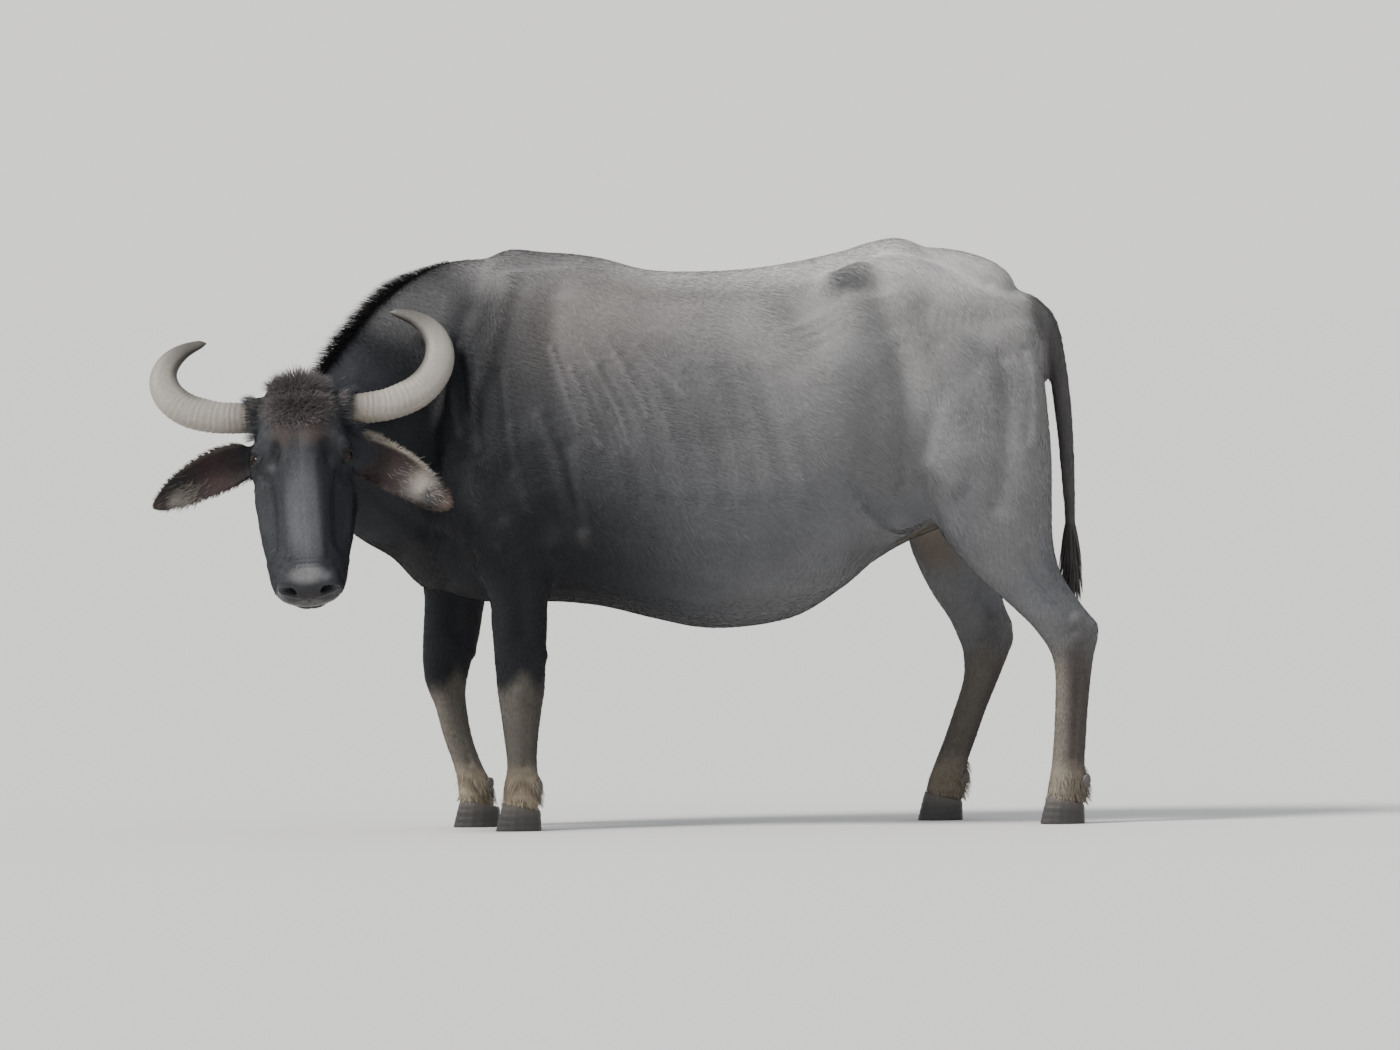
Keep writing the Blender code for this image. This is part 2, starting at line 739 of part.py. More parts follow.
def shape_head(head):
    """Sets the hollows and ridges of the face into the smoothed surface."""
    for side in (-1.0, 1.0):
        flank = [on_head(0.245, side * 0.082, -0.046), on_head(0.385, side * 0.078, -0.052)]
        swell(head, flank, 0.026, -0.008)
        edge = [on_head(0.200, side * 0.038, 0.028), on_head(0.300, side * 0.042, 0.006), on_head(0.440, side * 0.044, -0.008)]
        swell(head, edge, 0.011, 0.003)
        swell(head, [on_head(0.105, side * 0.120, -0.085)], 0.028, -0.007)
        root = [on_head(0.150, side * 0.058, 0.022), on_head(0.190, side * 0.066, 0.010)]
        swell(head, root, 0.018, -0.011)
        lip = [on_head(u, side * v, w + 0.016) for u, v, w in MOUTH_LINE[2:]]
        swell(head, lip, 0.010, 0.0035)
        chin = [on_head(u, side * v, w - 0.016) for u, v, w in MOUTH_LINE[1:]]
        swell(head, chin, 0.011, 0.004)
    swell(head, [on_head(0.517, 0.0, -0.040), on_head(0.544, 0.0, -0.080)], 0.008, -0.003)


def lid_opening(side):
    """A prism of almond section that opens the lids in front of an eye."""
    centre = on_head(EYE[0], side * EYE[1], EYE[2])
    out = head_direction(0.06, side * 0.78, 0.62)
    rise = head_direction(-1.0, side * 0.10, 0.0)
    rise = (rise - out * rise.dot(out)).normalized()
    across = out.cross(rise)
    half_length, half_height = LID_OPENING
    rings = []
    for reach, spread in ((0.004, 0.92), (0.045, 1.30)):
        ring = []
        for turn in np.arange(14) * 2 * np.pi / 14:
            along = half_length * spread * math.cos(turn)
            height = half_height * spread * math.sin(turn) * abs(math.sin(turn)) ** 0.35
            ring.append(centre + out * reach + across * along + rise * height)
        rings.append(ring)
    return make_object("opening", [loft(rings)])


def mouth_groove():
    """A thin curved blade that cuts the line of the mouth."""
    right = [(u, -v, w) for u, v, w in MOUTH_LINE[:0:-1]]
    path = smooth_rows(right + list(MOUTH_LINE), 2)
    rings = []
    last = len(path) - 1
    for i, (u, v, w) in enumerate(path):
        out = Vector((0.0, v, 0.0)) if abs(v) > 0.075 else Vector((u - 0.49, v, 0.0))
        out = out.normalized()
        fade = min(1.0, 0.35 + 0.25 * min(i, last - i))
        depth = 0.009 * fade
        half = 0.0028 * fade
        spots = ((out * -depth), Vector((0, 0, -half)), (out * 0.022), Vector((0, 0, half)))
        rings.append([on_head(*(Vector((u, v, w)) + spot)) for spot in spots])
    return make_object("groove", [loft(rings)])


def horn(side, name):
    """A ridged horn that leaves the head sideways and curls up and back in."""
    rows = smooth_rows(HORN, 2)
    lift, spread = HORN_RISE[name.split("_")[1]], side * HORN_SPREAD[name.split("_")[1]]
    points = [on_head(FOREHEAD_U - rise * lift, spread * v, w) for v, rise, w in rows[:, :3]]
    flat = head_direction(0, 0, 1)
    rings = []
    for i, centre in enumerate(points):
        ahead = points[min(i + 1, len(points) - 1)] - points[max(i - 1, 0)]
        radial = ahead.cross(flat).normalized()
        share = i / (len(points) - 1)
        ripple = 1.0 + 0.03 * (-1.0) ** i * (1.0 - share) ** 0.5
        ring = []
        for turn in np.arange(HORN_SIDES) * 2 * np.pi / HORN_SIDES:
            a = math.copysign(abs(math.cos(turn)) ** 0.85, math.cos(turn))
            b = math.copysign(abs(math.sin(turn)) ** 0.85, math.sin(turn))
            ring.append(centre + ripple * (radial * a * rows[i, 3] + flat * b * rows[i, 4]))
        rings.append(ring)
    return make_object(name, [loft(rings)])


def ear(name, root, tip, facing, sag):
    """A cupped ear, as a loft of crescent sections from its root to its tip."""
    root, tip = Vector(root), Vector(tip)
    axis = (tip - root).normalized()
    length = (tip - root).length
    facing = Vector(facing)
    facing = (facing - axis * facing.dot(axis)).normalized()
    across = axis.cross(facing)
    spread = np.linspace(-1.0, 1.0, 7)
    rings = []
    for share, half, cup, thick in smooth_rows(EAR, 2):
        bend = sag * math.sin(math.pi * share)
        centre = root + axis * length * share + Vector((0, 0, 1)) * bend
        rim = 1.0 - 0.75 * spread**6
        outer = [centre + across * half * s + facing * (cup * s * s - cup - thick / 2 * e) for s, e in zip(spread, rim)]
        inner = [centre + across * half * s + facing * (cup * s * s - cup + thick / 2 * e) for s, e in zip(spread, rim)]
        rings.append(outer + inner[::-1])
    return make_object(name, [loft(rings)])


def claw(name, front, rear, middle, side):
    """One claw of a hoof, flat below and cut to the slanting coronet above."""
    rings = []
    for height, lean, swelling in ((0.0, 0.0, 1.0), (0.040, 0.010, 0.97), (0.10, 0.027, 0.88)):
        ring = []
        for turn in np.arange(14) * 2 * np.pi / 14:
            along = -math.cos(turn)
            across = math.copysign(abs(math.sin(turn)) ** 0.85, math.sin(turn))
            x = front + lean + (rear - 0.1 * lean - front - lean) * (0.5 + 0.5 * along)
            toe = max(0.0, -along)
            outer = CLAW_WIDTH * 0.5 * across * (1.0 - 0.45 * toe**2) * swelling
            inner = CLAW_WIDTH * 0.42 * across * (1.0 - 0.10 * toe**2) * swelling
            inset = CLAW_CLEFT / 2 + CLAW_WIDTH * 0.42
            ring.append((x, middle + side * (inset + (outer if across > 0 else inner)), height))
        rings.append(ring)
    made = make_object(name, [loft(rings)])
    point, normal = coronet(front, rear)
    slice_off(made, point - normal * HALF_GAP, normal)
    return made


def coronet(front, rear):
    """A point and the upward normal of the plane where the skin meets the claws."""
    point = Vector(((front + rear) / 2, 0.0, (CORONET_FRONT + CORONET_REAR) / 2))
    slope = (CORONET_FRONT - CORONET_REAR) / (rear - front)
    return point, Vector((slope, 0.0, 1.0)).normalized()


def dewclaws(leg_name, rear, middle):
    """The two small horny claws behind a fetlock."""
    made = []
    for side, word in ((-1, "a"), (1, "b")):
        lean = Matrix.Rotation(math.radians(28), 3, "Y")
        shell = ball((rear - 0.008, middle + side * 0.021, 0.101), (0.014, 0.0125, 0.021), lean, 6, 5)
        made.append(make_object(f"{leg_name.replace('leg', '_dewclaw')}_{word}", [shell]))
    return made


def leg_zone(name, grow):
    """The upright block that holds one leg, with a top that slants along the body."""
    front, rear, inner, top_front, top_rear = LEG_ZONES[name]
    side = math.copysign(1.0, LEGS[name][2])
    corners = []
    for x, top in ((front - grow, top_front + grow), (rear + grow, top_rear + grow)):
        for reach in (inner - grow, 0.45):
            corners.append((x, side * reach, -0.05))
            corners.append((x, side * reach, top))
    faces = [(0, 1, 3, 2), (4, 6, 7, 5), (0, 4, 5, 1), (2, 3, 7, 6), (0, 2, 6, 4), (1, 5, 7, 3)]
    return make_object("zone", [(np.array(corners), faces)])


def strand(root, direction, side, length, width, thick, bend, steps=3):
    """A flat lock of hair that tapers from its sunken root to its bent tip, its flat lying along a side."""
    direction = Vector(direction).normalized()
    bend = Vector(bend)
    side = (side - direction * side.dot(direction)).normalized()
    rings = []
    here = Vector(root)
    for i in range(steps + 1):
        share = i / steps
        heading = (direction + bend * share).normalized()
        face = heading.cross(side).normalized()
        half = width / 2 * (1.0 - 0.88 * share**1.8)
        depth = thick / 2 * (1.0 - 0.78 * share)
        rings.append([here + side * half, here + face * depth, here - side * half, here - face * depth])
        here = here + heading * (length / steps)
    return loft(rings)


def surface_tree(thing):
    """A search tree over the faces of a mesh."""
    work = bmesh.new()
    work.from_mesh(thing.data)
    tree = BVHTree.FromBMesh(work)
    work.free()
    return tree


def fuse_locks(thing, shells):
    """Fuses locks of hair into the node that carries them."""
    locks = [make_object(f"lock_{i}", [shell]) for i, shell in enumerate(shells)]
    union_all(thing, locks)
    keep_largest(thing)


def crest_shells(thing, start, end, count, seed):
    """Short standing locks along a stretch of the crest of the neck."""
    tree = surface_tree(thing)
    chance = random.Random(seed)
    line = [Vector(row) for row in smooth_rows([crest for crest, _, _ in NECK[1:]], 12)]
    shells = []
    for i in range(count):
        spot = (start + (end - start) * i / (count - 1)) * (len(line) - 2)
        low = int(spot)
        here = line[low].lerp(line[low + 1], spot - low)
        ahead = (line[low + 1] - line[low]).normalized()
        across = ahead.cross(Vector((0, 0, 1))).normalized()
        lean = (0.6 if i % 2 else -0.6) + chance.uniform(-0.3, 0.3)
        foot, normal, _, _ = tree.find_nearest(here + Vector((0, 0, 0.02)) + across * 0.012 * lean)
        direction = normal + ahead * chance.uniform(0.35, 0.75) + across * lean * 0.4
        length = chance.uniform(0.042, 0.054)
        bend = ahead * 0.6 - Vector((0, 0, 0.20)) + across * lean * 0.4
        root = foot - normal * 0.010
        shells.append(strand(root, direction, ahead, length, chance.uniform(0.034, 0.042), 0.011, bend))
    return shells


def poll_shells(thing):
    """Rough locks between the horns, combed from the poll down the forehead."""
    tree = surface_tree(thing)
    chance = random.Random(HAIR_SEED + 3)
    rows, columns = POLL_LOCKS
    shells = []
    for i in range(rows):
        turn = math.radians(8 + 98 * i / (rows - 1))
        for j in range(columns):
            v = 0.070 * (2 * (j + 0.4 * (i % 2)) / (columns - 0.6) - 1)
            outward = head_direction(-math.cos(turn), v * 2.0, math.sin(turn))
            foot, normal, _, _ = tree.ray_cast(on_head(0.050, v * 0.8, -0.070), outward)
            comb = head_direction(math.sin(turn) + 0.15, v * 6.0 + chance.uniform(-0.5, 0.5), math.cos(turn))
            direction = outward * 0.60 + comb * 0.80
            bend = comb * 0.45 - outward * 0.08
            length = chance.uniform(0.056, 0.070)
            root = foot - outward * 0.012
            width = chance.uniform(0.040, 0.050)
            shells.append(strand(root, direction, head_direction(0, 1, 0), length, width, 0.011, bend))
    return shells


def tuft_shells():
    """Hanging locks around the end of the tail."""
    chance = random.Random(HAIR_SEED + 7)
    line = smooth_rows(TUFT, 6)
    shells = []
    for i in range(TUFT_LOCKS):
        share = 0.08 + 0.62 * i / (TUFT_LOCKS - 1)
        x, y, z, radius = line[int(share * (len(line) - 1))]
        turn = i * 2.399
        outward = Vector((math.cos(turn), math.sin(turn), 0.0))
        root = Vector((x, y, z)) + outward * (radius - 0.009)
        direction = outward * chance.uniform(0.22, 0.36) + Vector((0.05, 0, -1))
        bend = outward * chance.uniform(-0.42, -0.20) + Vector((0.12, 0, 0))
        length = chance.uniform(0.085, 0.120) * (1.0 - 0.25 * share)
        around = Vector((-math.sin(turn), math.cos(turn), 0.0))
        shells.append(strand(root, direction, around, length, chance.uniform(0.018, 0.024), 0.009, bend, 4))
    return shells


def ear_fringe(root, tip, facing, sag, seed):
    """Pale hairs along the outer half of the lower rim of an ear."""
    chance = random.Random(seed)
    root, tip = Vector(root), Vector(tip)
    axis = (tip - root).normalized()
    length = (tip - root).length
    facing = Vector(facing)
    facing = (facing - axis * facing.dot(axis)).normalized()
    across = axis.cross(facing)
    lower = -math.copysign(1.0, across.z)
    shares, halves = np.array(EAR)[:, :2].T
    shells = []
    for i in range(EAR_LOCKS):
        share = 0.30 + 0.54 * i / (EAR_LOCKS - 1)
        half = float(np.interp(share, shares, halves))
        rise = Vector((0, 0, 1)) * sag * math.sin(math.pi * share)
        rim = root + axis * length * share + rise + across * lower * (half - 0.010)
        direction = across * lower * 0.8 + axis * chance.uniform(0.5, 0.9) + facing * 0.2
        size = chance.uniform(0.036, 0.046)
        bend = axis * 0.4 + Vector((0, 0, -0.3))
        shells.append(strand(rim, direction, axis, size, 0.028, 0.0065, bend))
    return shells


def build_flesh():
    """The head, neck, torso and legs, cut apart with thin gaps."""
    head = make_object("head", head_shells())
    remesh(head, HEAD_VOXEL)
    relax(head, HEAD_ROUNDS, HEAD_BLUR)
    shape_head(head)
    slice_off(head, FACE_CUT - FACE_NORMAL * 0.03, -FACE_NORMAL)
    keep_largest(head)
    decimate(head, HEAD_FACES)

    body = make_object("torso", body_shells())
    remesh(body, BODY_VOXEL)
    relax(body, BODY_ROUNDS, TRUNK_BLUR, 0.56, 0.16)
    shape_body(body)
    fine = copy_of(body, "fine")
    decimate(fine, LEG_FACES)
    decimate(body, TRUNK_FACES)

    nodes = {}
    for name in LEGS:
        leg = copy_of(fine, name)
        boolean(leg, leg_zone(name, 0.0), "INTERSECT")
        keep_largest(leg)
        nodes[name] = leg
        boolean(body, leg_zone(name, GAP), "DIFFERENCE")
    bpy.data.objects.remove(fine, do_unlink=True)

    neck = copy_of(body, "neck")
    slice_off(neck, NECK_CUT + NECK_NORMAL * HALF_GAP, -NECK_NORMAL)
    slice_off(body, NECK_CUT - NECK_NORMAL * HALF_GAP, NECK_NORMAL)
    fuse_locks(neck, crest_shells(neck, 0.02, 0.80, CREST_LOCKS, HAIR_SEED))
    fuse_locks(head, crest_shells(head, 0.80, 0.98, CREST_LOCKS // 4, HAIR_SEED + 1) + poll_shells(head))
    slice_off(head, FACE_CUT + FACE_NORMAL * HALF_GAP, -FACE_NORMAL)
    slice_off(neck, FACE_CUT - FACE_NORMAL * HALF_GAP, FACE_NORMAL)
    nodes.update(head=head, neck=neck, torso=body)
    for node in (head, neck, body):
        keep_largest(node)
    return nodes


def finish_feet(nodes):
    """Adds the claws and dewclaws of each foot and fits the skin around them."""
    for name, (_, breadths, side, front, rear) in LEGS.items():
        middle = side * breadths[-1][1]
        leg = nodes[name]
        point, normal = coronet(front, rear)
        slice_off(leg, point + normal * HALF_GAP, -normal)
        keep_largest(leg)
        for direction, word in ((-1, "a"), (1, "b")):
            claw(f"{name.replace('leg', '_claw')}_{word}", front, rear, middle, direction)
        heel = float(np.interp(0.10, *np.array([(row[0], row[2]) for row in LEGS[name][0]])[::-1].T))
        for small in dewclaws(name, heel, middle):
            boolean(leg, grown(small, "socket", GAP), "DIFFERENCE")


def finish_head(nodes):
    """Opens the lids, nostrils and mouth, and seats the eyes, horns and ears."""
    head = nodes["head"]
    boolean(head, mouth_groove(), "DIFFERENCE")
    axes = HEAD_FRAME.to_3x3()
    for side, word in ((1.0, "left"), (-1.0, "right")):
        boolean(head, lid_opening(side), "DIFFERENCE")
        centre = on_head(EYE[0], side * EYE[1], EYE[2])
        eye = make_object(f"eye_{word}", [ball(centre, (EYE_RADIUS,) * 3, axes, 14, 9)])
        boolean(head, grown(eye, "socket", GAP), "DIFFERENCE")
        turn = axes @ Matrix.Rotation(side * math.radians(-32), 3, "X")
        spot = on_head(NOSTRIL[0], side * NOSTRIL[1], NOSTRIL[2])
        hole = make_object("hole", [ball(spot, NOSTRIL_SIZE, turn, 12, 8)])
        boolean(head, hole, "DIFFERENCE")
        boolean(head, grown(horn(side, f"horn_{word}"), "socket", GAP), "DIFFERENCE")
    keep_largest(head)
    for word, (side, w, tip, facing, sag) in EARS.items():
        root = on_head(0.115, side * 0.105, w)
        each = ear(f"ear_{word}", root, tip, facing, sag)
        fuse_locks(each, ear_fringe(root, tip, facing, sag, HAIR_SEED + round(side)))
        boolean(each, grown(head, "outside", GAP), "DIFFERENCE")
        boolean(each, grown(nodes["neck"], "outside", GAP), "DIFFERENCE")
        keep_largest(each)


def finish_tail(nodes):
    """Hangs the tail and its tuft, and fits the rump around the root."""
    tail = make_object("tail", [tube(smooth_rows(TAIL, 2), 10, 1.15)])
    boolean(nodes["torso"], grown(tail, "socket", GAP), "DIFFERENCE")
    keep_largest(nodes["torso"])
    tuft = make_object("tail_tuft", [tube(smooth_rows(TUFT, 2), 8)])
    fuse_locks(tuft, tuft_shells())
    slice_off(tuft, Vector((0.901, 0.001, TUFT[0][2])), Vector((0, 0, 1)))


def set_origin():
    """Moves the whole so that the origin is the bottom centre of its bounds."""
    lows = [Vector(read_points(thing).min(axis=0)) for thing in bpy.data.objects]
    highs = [Vector(read_points(thing).max(axis=0)) for thing in bpy.data.objects]
    low = np.array([min(point[i] for point in lows) for i in range(3)])
    high = np.array([max(point[i] for point in highs) for i in range(3)])
    shift = np.array([(low[0] + high[0]) / 2, (low[1] + high[1]) / 2, low[2]])
    for thing in bpy.data.objects:
        write_points(thing, read_points(thing) - shift)
    print("shift", shift, "size", high - low)


def main():
    """Builds every node."""
    clear_scene()
    nodes = build_flesh()
    finish_feet(nodes)
    finish_head(nodes)
    finish_tail(nodes)
    set_origin()
    for thing in bpy.data.objects:
        print(thing.name, sum(len(face.vertices) - 2 for face in thing.data.polygons))


main()
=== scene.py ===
"""The looks of a life-size water buffalo, standing with its head turned toward its left side.

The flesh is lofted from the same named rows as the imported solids, fused into one skin and laid
inside them by the depth of the coat. Tufts of hair, horns, eyes and claws are built on that skin.
"""

import logging
import math
from dataclasses import dataclass
from enum import Enum
from typing import Callable, Sequence

import bmesh
import bpy
import numpy as np
from mathutils import Matrix, Vector
from mathutils.bvhtree import BVHTree


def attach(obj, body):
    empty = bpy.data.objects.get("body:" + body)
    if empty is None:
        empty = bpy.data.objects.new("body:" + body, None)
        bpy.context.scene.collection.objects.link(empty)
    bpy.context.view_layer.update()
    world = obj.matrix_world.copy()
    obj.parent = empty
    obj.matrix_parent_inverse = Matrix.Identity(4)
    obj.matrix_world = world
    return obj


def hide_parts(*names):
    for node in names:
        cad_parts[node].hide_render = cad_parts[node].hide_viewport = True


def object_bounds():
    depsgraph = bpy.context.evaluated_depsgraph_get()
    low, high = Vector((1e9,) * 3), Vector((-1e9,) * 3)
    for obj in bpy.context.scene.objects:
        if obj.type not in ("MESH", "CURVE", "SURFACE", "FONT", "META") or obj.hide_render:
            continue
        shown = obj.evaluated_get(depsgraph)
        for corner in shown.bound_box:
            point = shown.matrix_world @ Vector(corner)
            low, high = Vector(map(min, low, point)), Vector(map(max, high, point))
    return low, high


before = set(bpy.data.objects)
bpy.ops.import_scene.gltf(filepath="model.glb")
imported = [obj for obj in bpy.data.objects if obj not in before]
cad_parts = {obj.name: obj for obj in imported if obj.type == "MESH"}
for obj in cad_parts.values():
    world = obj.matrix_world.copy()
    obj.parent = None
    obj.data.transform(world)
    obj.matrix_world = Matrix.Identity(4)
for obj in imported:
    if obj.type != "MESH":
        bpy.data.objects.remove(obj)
CAD_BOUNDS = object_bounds()

log = logging.getLogger("buffalo")

# The drawing of the animal is laid out from its own zero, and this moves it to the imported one
SHIFT = np.array([0.18328607, 0.04943174, 0.0])
COAT_DEPTH = 0.0035
BODY_VOXEL = 0.0036
SKIN_TRIANGLES = 190_000
COAT_PIECE_TRIANGLES = 195_000

Rows = tuple[tuple[float, ...], ...]

# Torso rows: x, underline, level of the greatest width, top line, half width, power of the upper half
TORSO: Rows = (
    (-0.700, 0.660, 0.800, 0.980, 0.100, 2.0),
    (-0.620, 0.575, 0.870, 1.220, 0.190, 1.9),
    (-0.500, 0.548, 0.900, 1.398, 0.240, 1.85),
    (-0.360, 0.548, 0.880, 1.405, 0.264, 1.8),
    (-0.240, 0.535, 0.860, 1.391, 0.296, 1.8),
    (-0.120, 0.505, 0.840, 1.359, 0.330, 1.85),
    (0.000, 0.480, 0.820, 1.353, 0.360, 1.9),
    (0.120, 0.482, 0.820, 1.357, 0.375, 1.95),
    (0.240, 0.508, 0.840, 1.373, 0.368, 2.0),
    (0.350, 0.576, 0.890, 1.396, 0.335, 2.1),
    (0.420, 0.633, 0.950, 1.417, 0.300, 2.1),
    (0.500, 0.680, 0.990, 1.427, 0.268, 1.95),
    (0.600, 0.720, 1.010, 1.378, 0.232, 1.9),
    (0.720, 0.778, 1.030, 1.314, 0.192, 1.95),
    (0.810, 0.870, 1.060, 1.266, 0.135, 2.0),
    (0.845, 0.950, 1.080, 1.190, 0.075, 2.0),
)

# Neck rows: crest point, throat point and half width
NECK: Rows = (
    (-0.450, 0.000, 1.392, -0.500, 0.000, 0.600, 0.225),
    (-0.600, -0.005, 1.386, -0.660, -0.010, 0.580, 0.215),
    (-0.700, -0.030, 1.344, -0.735, -0.035, 0.655, 0.182),
    (-0.785, -0.080, 1.280, -0.795, -0.090, 0.698, 0.150),
    (-0.858, -0.140, 1.197, -0.850, -0.155, 0.752, 0.128),
    (-0.930, -0.215, 1.100, -0.925, -0.235, 0.850, 0.095),
)

# Leg outlines: height, front edge and rear edge
FORE_LEFT: Rows = (
    (1.250, -0.500, -0.330),
    (1.050, -0.560, -0.330),
    (0.900, -0.600, -0.345),
    (0.750, -0.595, -0.325),
    (0.650, -0.555, -0.338),
    (0.559, -0.516, -0.367),
    (0.510, -0.512, -0.370),
    (0.437, -0.506, -0.374),
    (0.377, -0.500, -0.377),
    (0.340, -0.499, -0.379),
    (0.292, -0.493, -0.387),
    (0.219, -0.484, -0.397),
    (0.158, -0.478, -0.400),
    (0.109, -0.486, -0.395),
    (0.073, -0.487, -0.398),
    (0.050, -0.482, -0.404),
)
FORE_RIGHT: Rows = (
    (1.250, -0.500, -0.330),
    (1.050, -0.590, -0.350),
    (0.900, -0.660, -0.400),
    (0.750, -0.690, -0.450),
    (0.650, -0.690, -0.485),
    (0.561, -0.678, -0.522),
    (0.464, -0.683, -0.540),
    (0.403, -0.682, -0.560),
    (0.343, -0.674, -0.574),
    (0.294, -0.655, -0.573),
    (0.221, -0.636, -0.561),
    (0.160, -0.615, -0.541),
    (0.112, -0.603, -0.520),
    (0.075, -0.598, -0.514),
    (0.050, -0.592, -0.512),
)
HIND_LEFT: Rows = (
    (1.220, 0.575, 0.785),
    (1.100, 0.530, 0.838),
    (1.000, 0.520, 0.850),
    (0.900, 0.522, 0.857),
    (0.800, 0.540, 0.857),
    (0.700, 0.585, 0.857),
    (0.633, 0.639, 0.867),
    (0.584, 0.688, 0.889),
    (0.535, 0.741, 0.922),
    (0.486, 0.792, 0.958),
    (0.450, 0.821, 0.963),
    (0.413, 0.843, 0.954),
    (0.364, 0.853, 0.946),
    (0.291, 0.852, 0.938),
    (0.219, 0.848, 0.932),
    (0.146, 0.842, 0.927),
    (0.097, 0.835, 0.932),
    (0.061, 0.831, 0.928),
    (0.046, 0.836, 0.920),
)
HIND_RIGHT: Rows = (
    (1.220, 0.575, 0.785),
    (1.100, 0.530, 0.838),
    (1.000, 0.515, 0.845),
    (0.900, 0.505, 0.835),
    (0.800, 0.498, 0.815),
    (0.700, 0.502, 0.780),
    (0.637, 0.522, 0.750),
    (0.588, 0.544, 0.735),
    (0.539, 0.571, 0.740),
    (0.491, 0.603, 0.755),
    (0.442, 0.625, 0.765),
    (0.406, 0.636, 0.753),
    (0.345, 0.636, 0.728),
    (0.272, 0.613, 0.697),
    (0.199, 0.587, 0.670),
    (0.139, 0.563, 0.648),
    (0.102, 0.550, 0.645),
    (0.066, 0.543, 0.638),
    (0.046, 0.546, 0.630),
)

# Leg breadths: height, distance of the centre from the midplane and half width
FORE_BREADTH: Rows = (
    (1.250, 0.085, 0.050),
    (1.050, 0.128, 0.085),
    (0.900, 0.148, 0.098),
    (0.750, 0.155, 0.098),
    (0.650, 0.158, 0.086),
    (0.560, 0.158, 0.067),
    (0.510, 0.158, 0.060),
    (0.437, 0.158, 0.052),
    (0.377, 0.158, 0.048),
    (0.340, 0.158, 0.048),
    (0.292, 0.158, 0.040),
    (0.219, 0.158, 0.032),
    (0.158, 0.158, 0.032),
    (0.109, 0.158, 0.041),
    (0.073, 0.158, 0.040),
    (0.050, 0.158, 0.034),
)
HIND_BREADTH: Rows = (
    (1.220, 0.090, 0.062),
    (1.100, 0.125, 0.090),
    (1.000, 0.142, 0.108),
    (0.900, 0.156, 0.114),
    (0.800, 0.163, 0.107),
    (0.700, 0.167, 0.092),
    (0.633, 0.170, 0.078),
    (0.584, 0.171, 0.068),
    (0.535, 0.172, 0.058),
    (0.486, 0.172, 0.050),
    (0.450, 0.172, 0.046),
    (0.413, 0.172, 0.042),
    (0.364, 0.172, 0.036),
    (0.291, 0.172, 0.032),
    (0.219, 0.172, 0.031),
    (0.146, 0.172, 0.034),
    (0.097, 0.172, 0.042),
    (0.061, 0.172, 0.040),
    (0.046, 0.172, 0.034),
)
# Each leg: outline, breadths, side (-1 is the animal's left) and middle of the foot
LEGS = (
    (FORE_LEFT, FORE_BREADTH, -1.0),
    (FORE_RIGHT, FORE_BREADTH, 0.86),
    (HIND_LEFT, HIND_BREADTH, -1.0),
    (HIND_RIGHT, HIND_BREADTH, 0.97),
)
REAR_PINCH = 0.22

# Head rows: u, top w, w of the greatest width, bottom w, half width, power of the upper half
HEAD: Rows = (
    (-0.030, -0.035, -0.090, -0.160, 0.080, 2.2),
    (0.020, 0.012, -0.080, -0.220, 0.106, 2.4),
    (0.080, 0.030, -0.090, -0.250, 0.118, 2.5),
    (0.140, 0.036, -0.100, -0.262, 0.121, 2.3),
    (0.200, 0.030, -0.120, -0.250, 0.123, 2.0),
    (0.250, 0.018, -0.130, -0.232, 0.123, 1.8),
    (0.300, 0.010, -0.128, -0.214, 0.121, 1.7),
    (0.350, 0.005, -0.118, -0.195, 0.115, 1.7),
    (0.400, 0.002, -0.105, -0.176, 0.105, 1.8),
    (0.440, 0.000, -0.095, -0.160, 0.097, 2.0),
    (0.475, -0.004, -0.085, -0.148, 0.092, 2.3),
    (0.505, -0.014, -0.080, -0.137, 0.085, 2.3),
    (0.528, -0.032, -0.078, -0.120, 0.069, 2.2),
    (0.540, -0.055, -0.078, -0.100, 0.042, 2.0),
)
MOUTH_LINE: Rows = (
    (0.544, 0.000, -0.100),
    (0.538, 0.030, -0.101),
    (0.517, 0.062, -0.104),
    (0.477, 0.083, -0.110),
    (0.430, 0.093, -0.116),
    (0.385, 0.101, -0.118),
    (0.345, 0.108, -0.112),
)

# Tail rows: x, y, z, radius
TAIL: Rows = (
    (0.745, 0.000, 1.262, 0.034),
    (0.800, 0.000, 1.256, 0.036),
    (0.846, 0.002, 1.206, 0.033),
    (0.872, 0.004, 1.110, 0.027),
    (0.889, 0.004, 0.980, 0.023),
    (0.897, 0.003, 0.840, 0.019),
    (0.900, 0.002, 0.760, 0.016),
    (0.901, 0.001, 0.700, 0.014),
    (0.902, 0.001, 0.620, 0.009),
    (0.904, 0.001, 0.560, 0.004),
)


class Side(Enum):
    """The two sides of the head, as the sign of its sideways axis."""

    LEFT = 1.0
    RIGHT = -1.0

    @property
    def word(self) -> str:
        """The name of the side in lower case."""
        return self.name.lower()


def smooth_rows(rows: Sequence[Sequence[float]], steps: int) -> np.ndarray:
    """Adds rows between the given ones, along a spline through each of them.

    Args:
        rows: The rows to pass through.
        steps: How many rows to make for each given one.

    Returns:
        The denser rows, ending on the last given one.
    """
    keys = np.array(rows, float)
    padded = np.vstack([2 * keys[0] - keys[1], keys, 2 * keys[-1] - keys[-2]])
    found = []
    for i in range(len(keys) - 1):
        a, b, c, d = padded[i : i + 4]
        for t in np.arange(steps) / steps:
            bend = 2 * a - 5 * b + 4 * c - d
            twist = 3 * (b - c) + d - a
            found.append(b + 0.5 * t * (c - a + t * (bend + t * twist)))
    found.append(keys[-1])
    return np.array(found)


def unit(vectors: np.ndarray) -> np.ndarray:
    """Scales each row to a length of one."""
    return vectors / np.maximum(np.linalg.norm(vectors, axis=-1, keepdims=True), 1e-12)


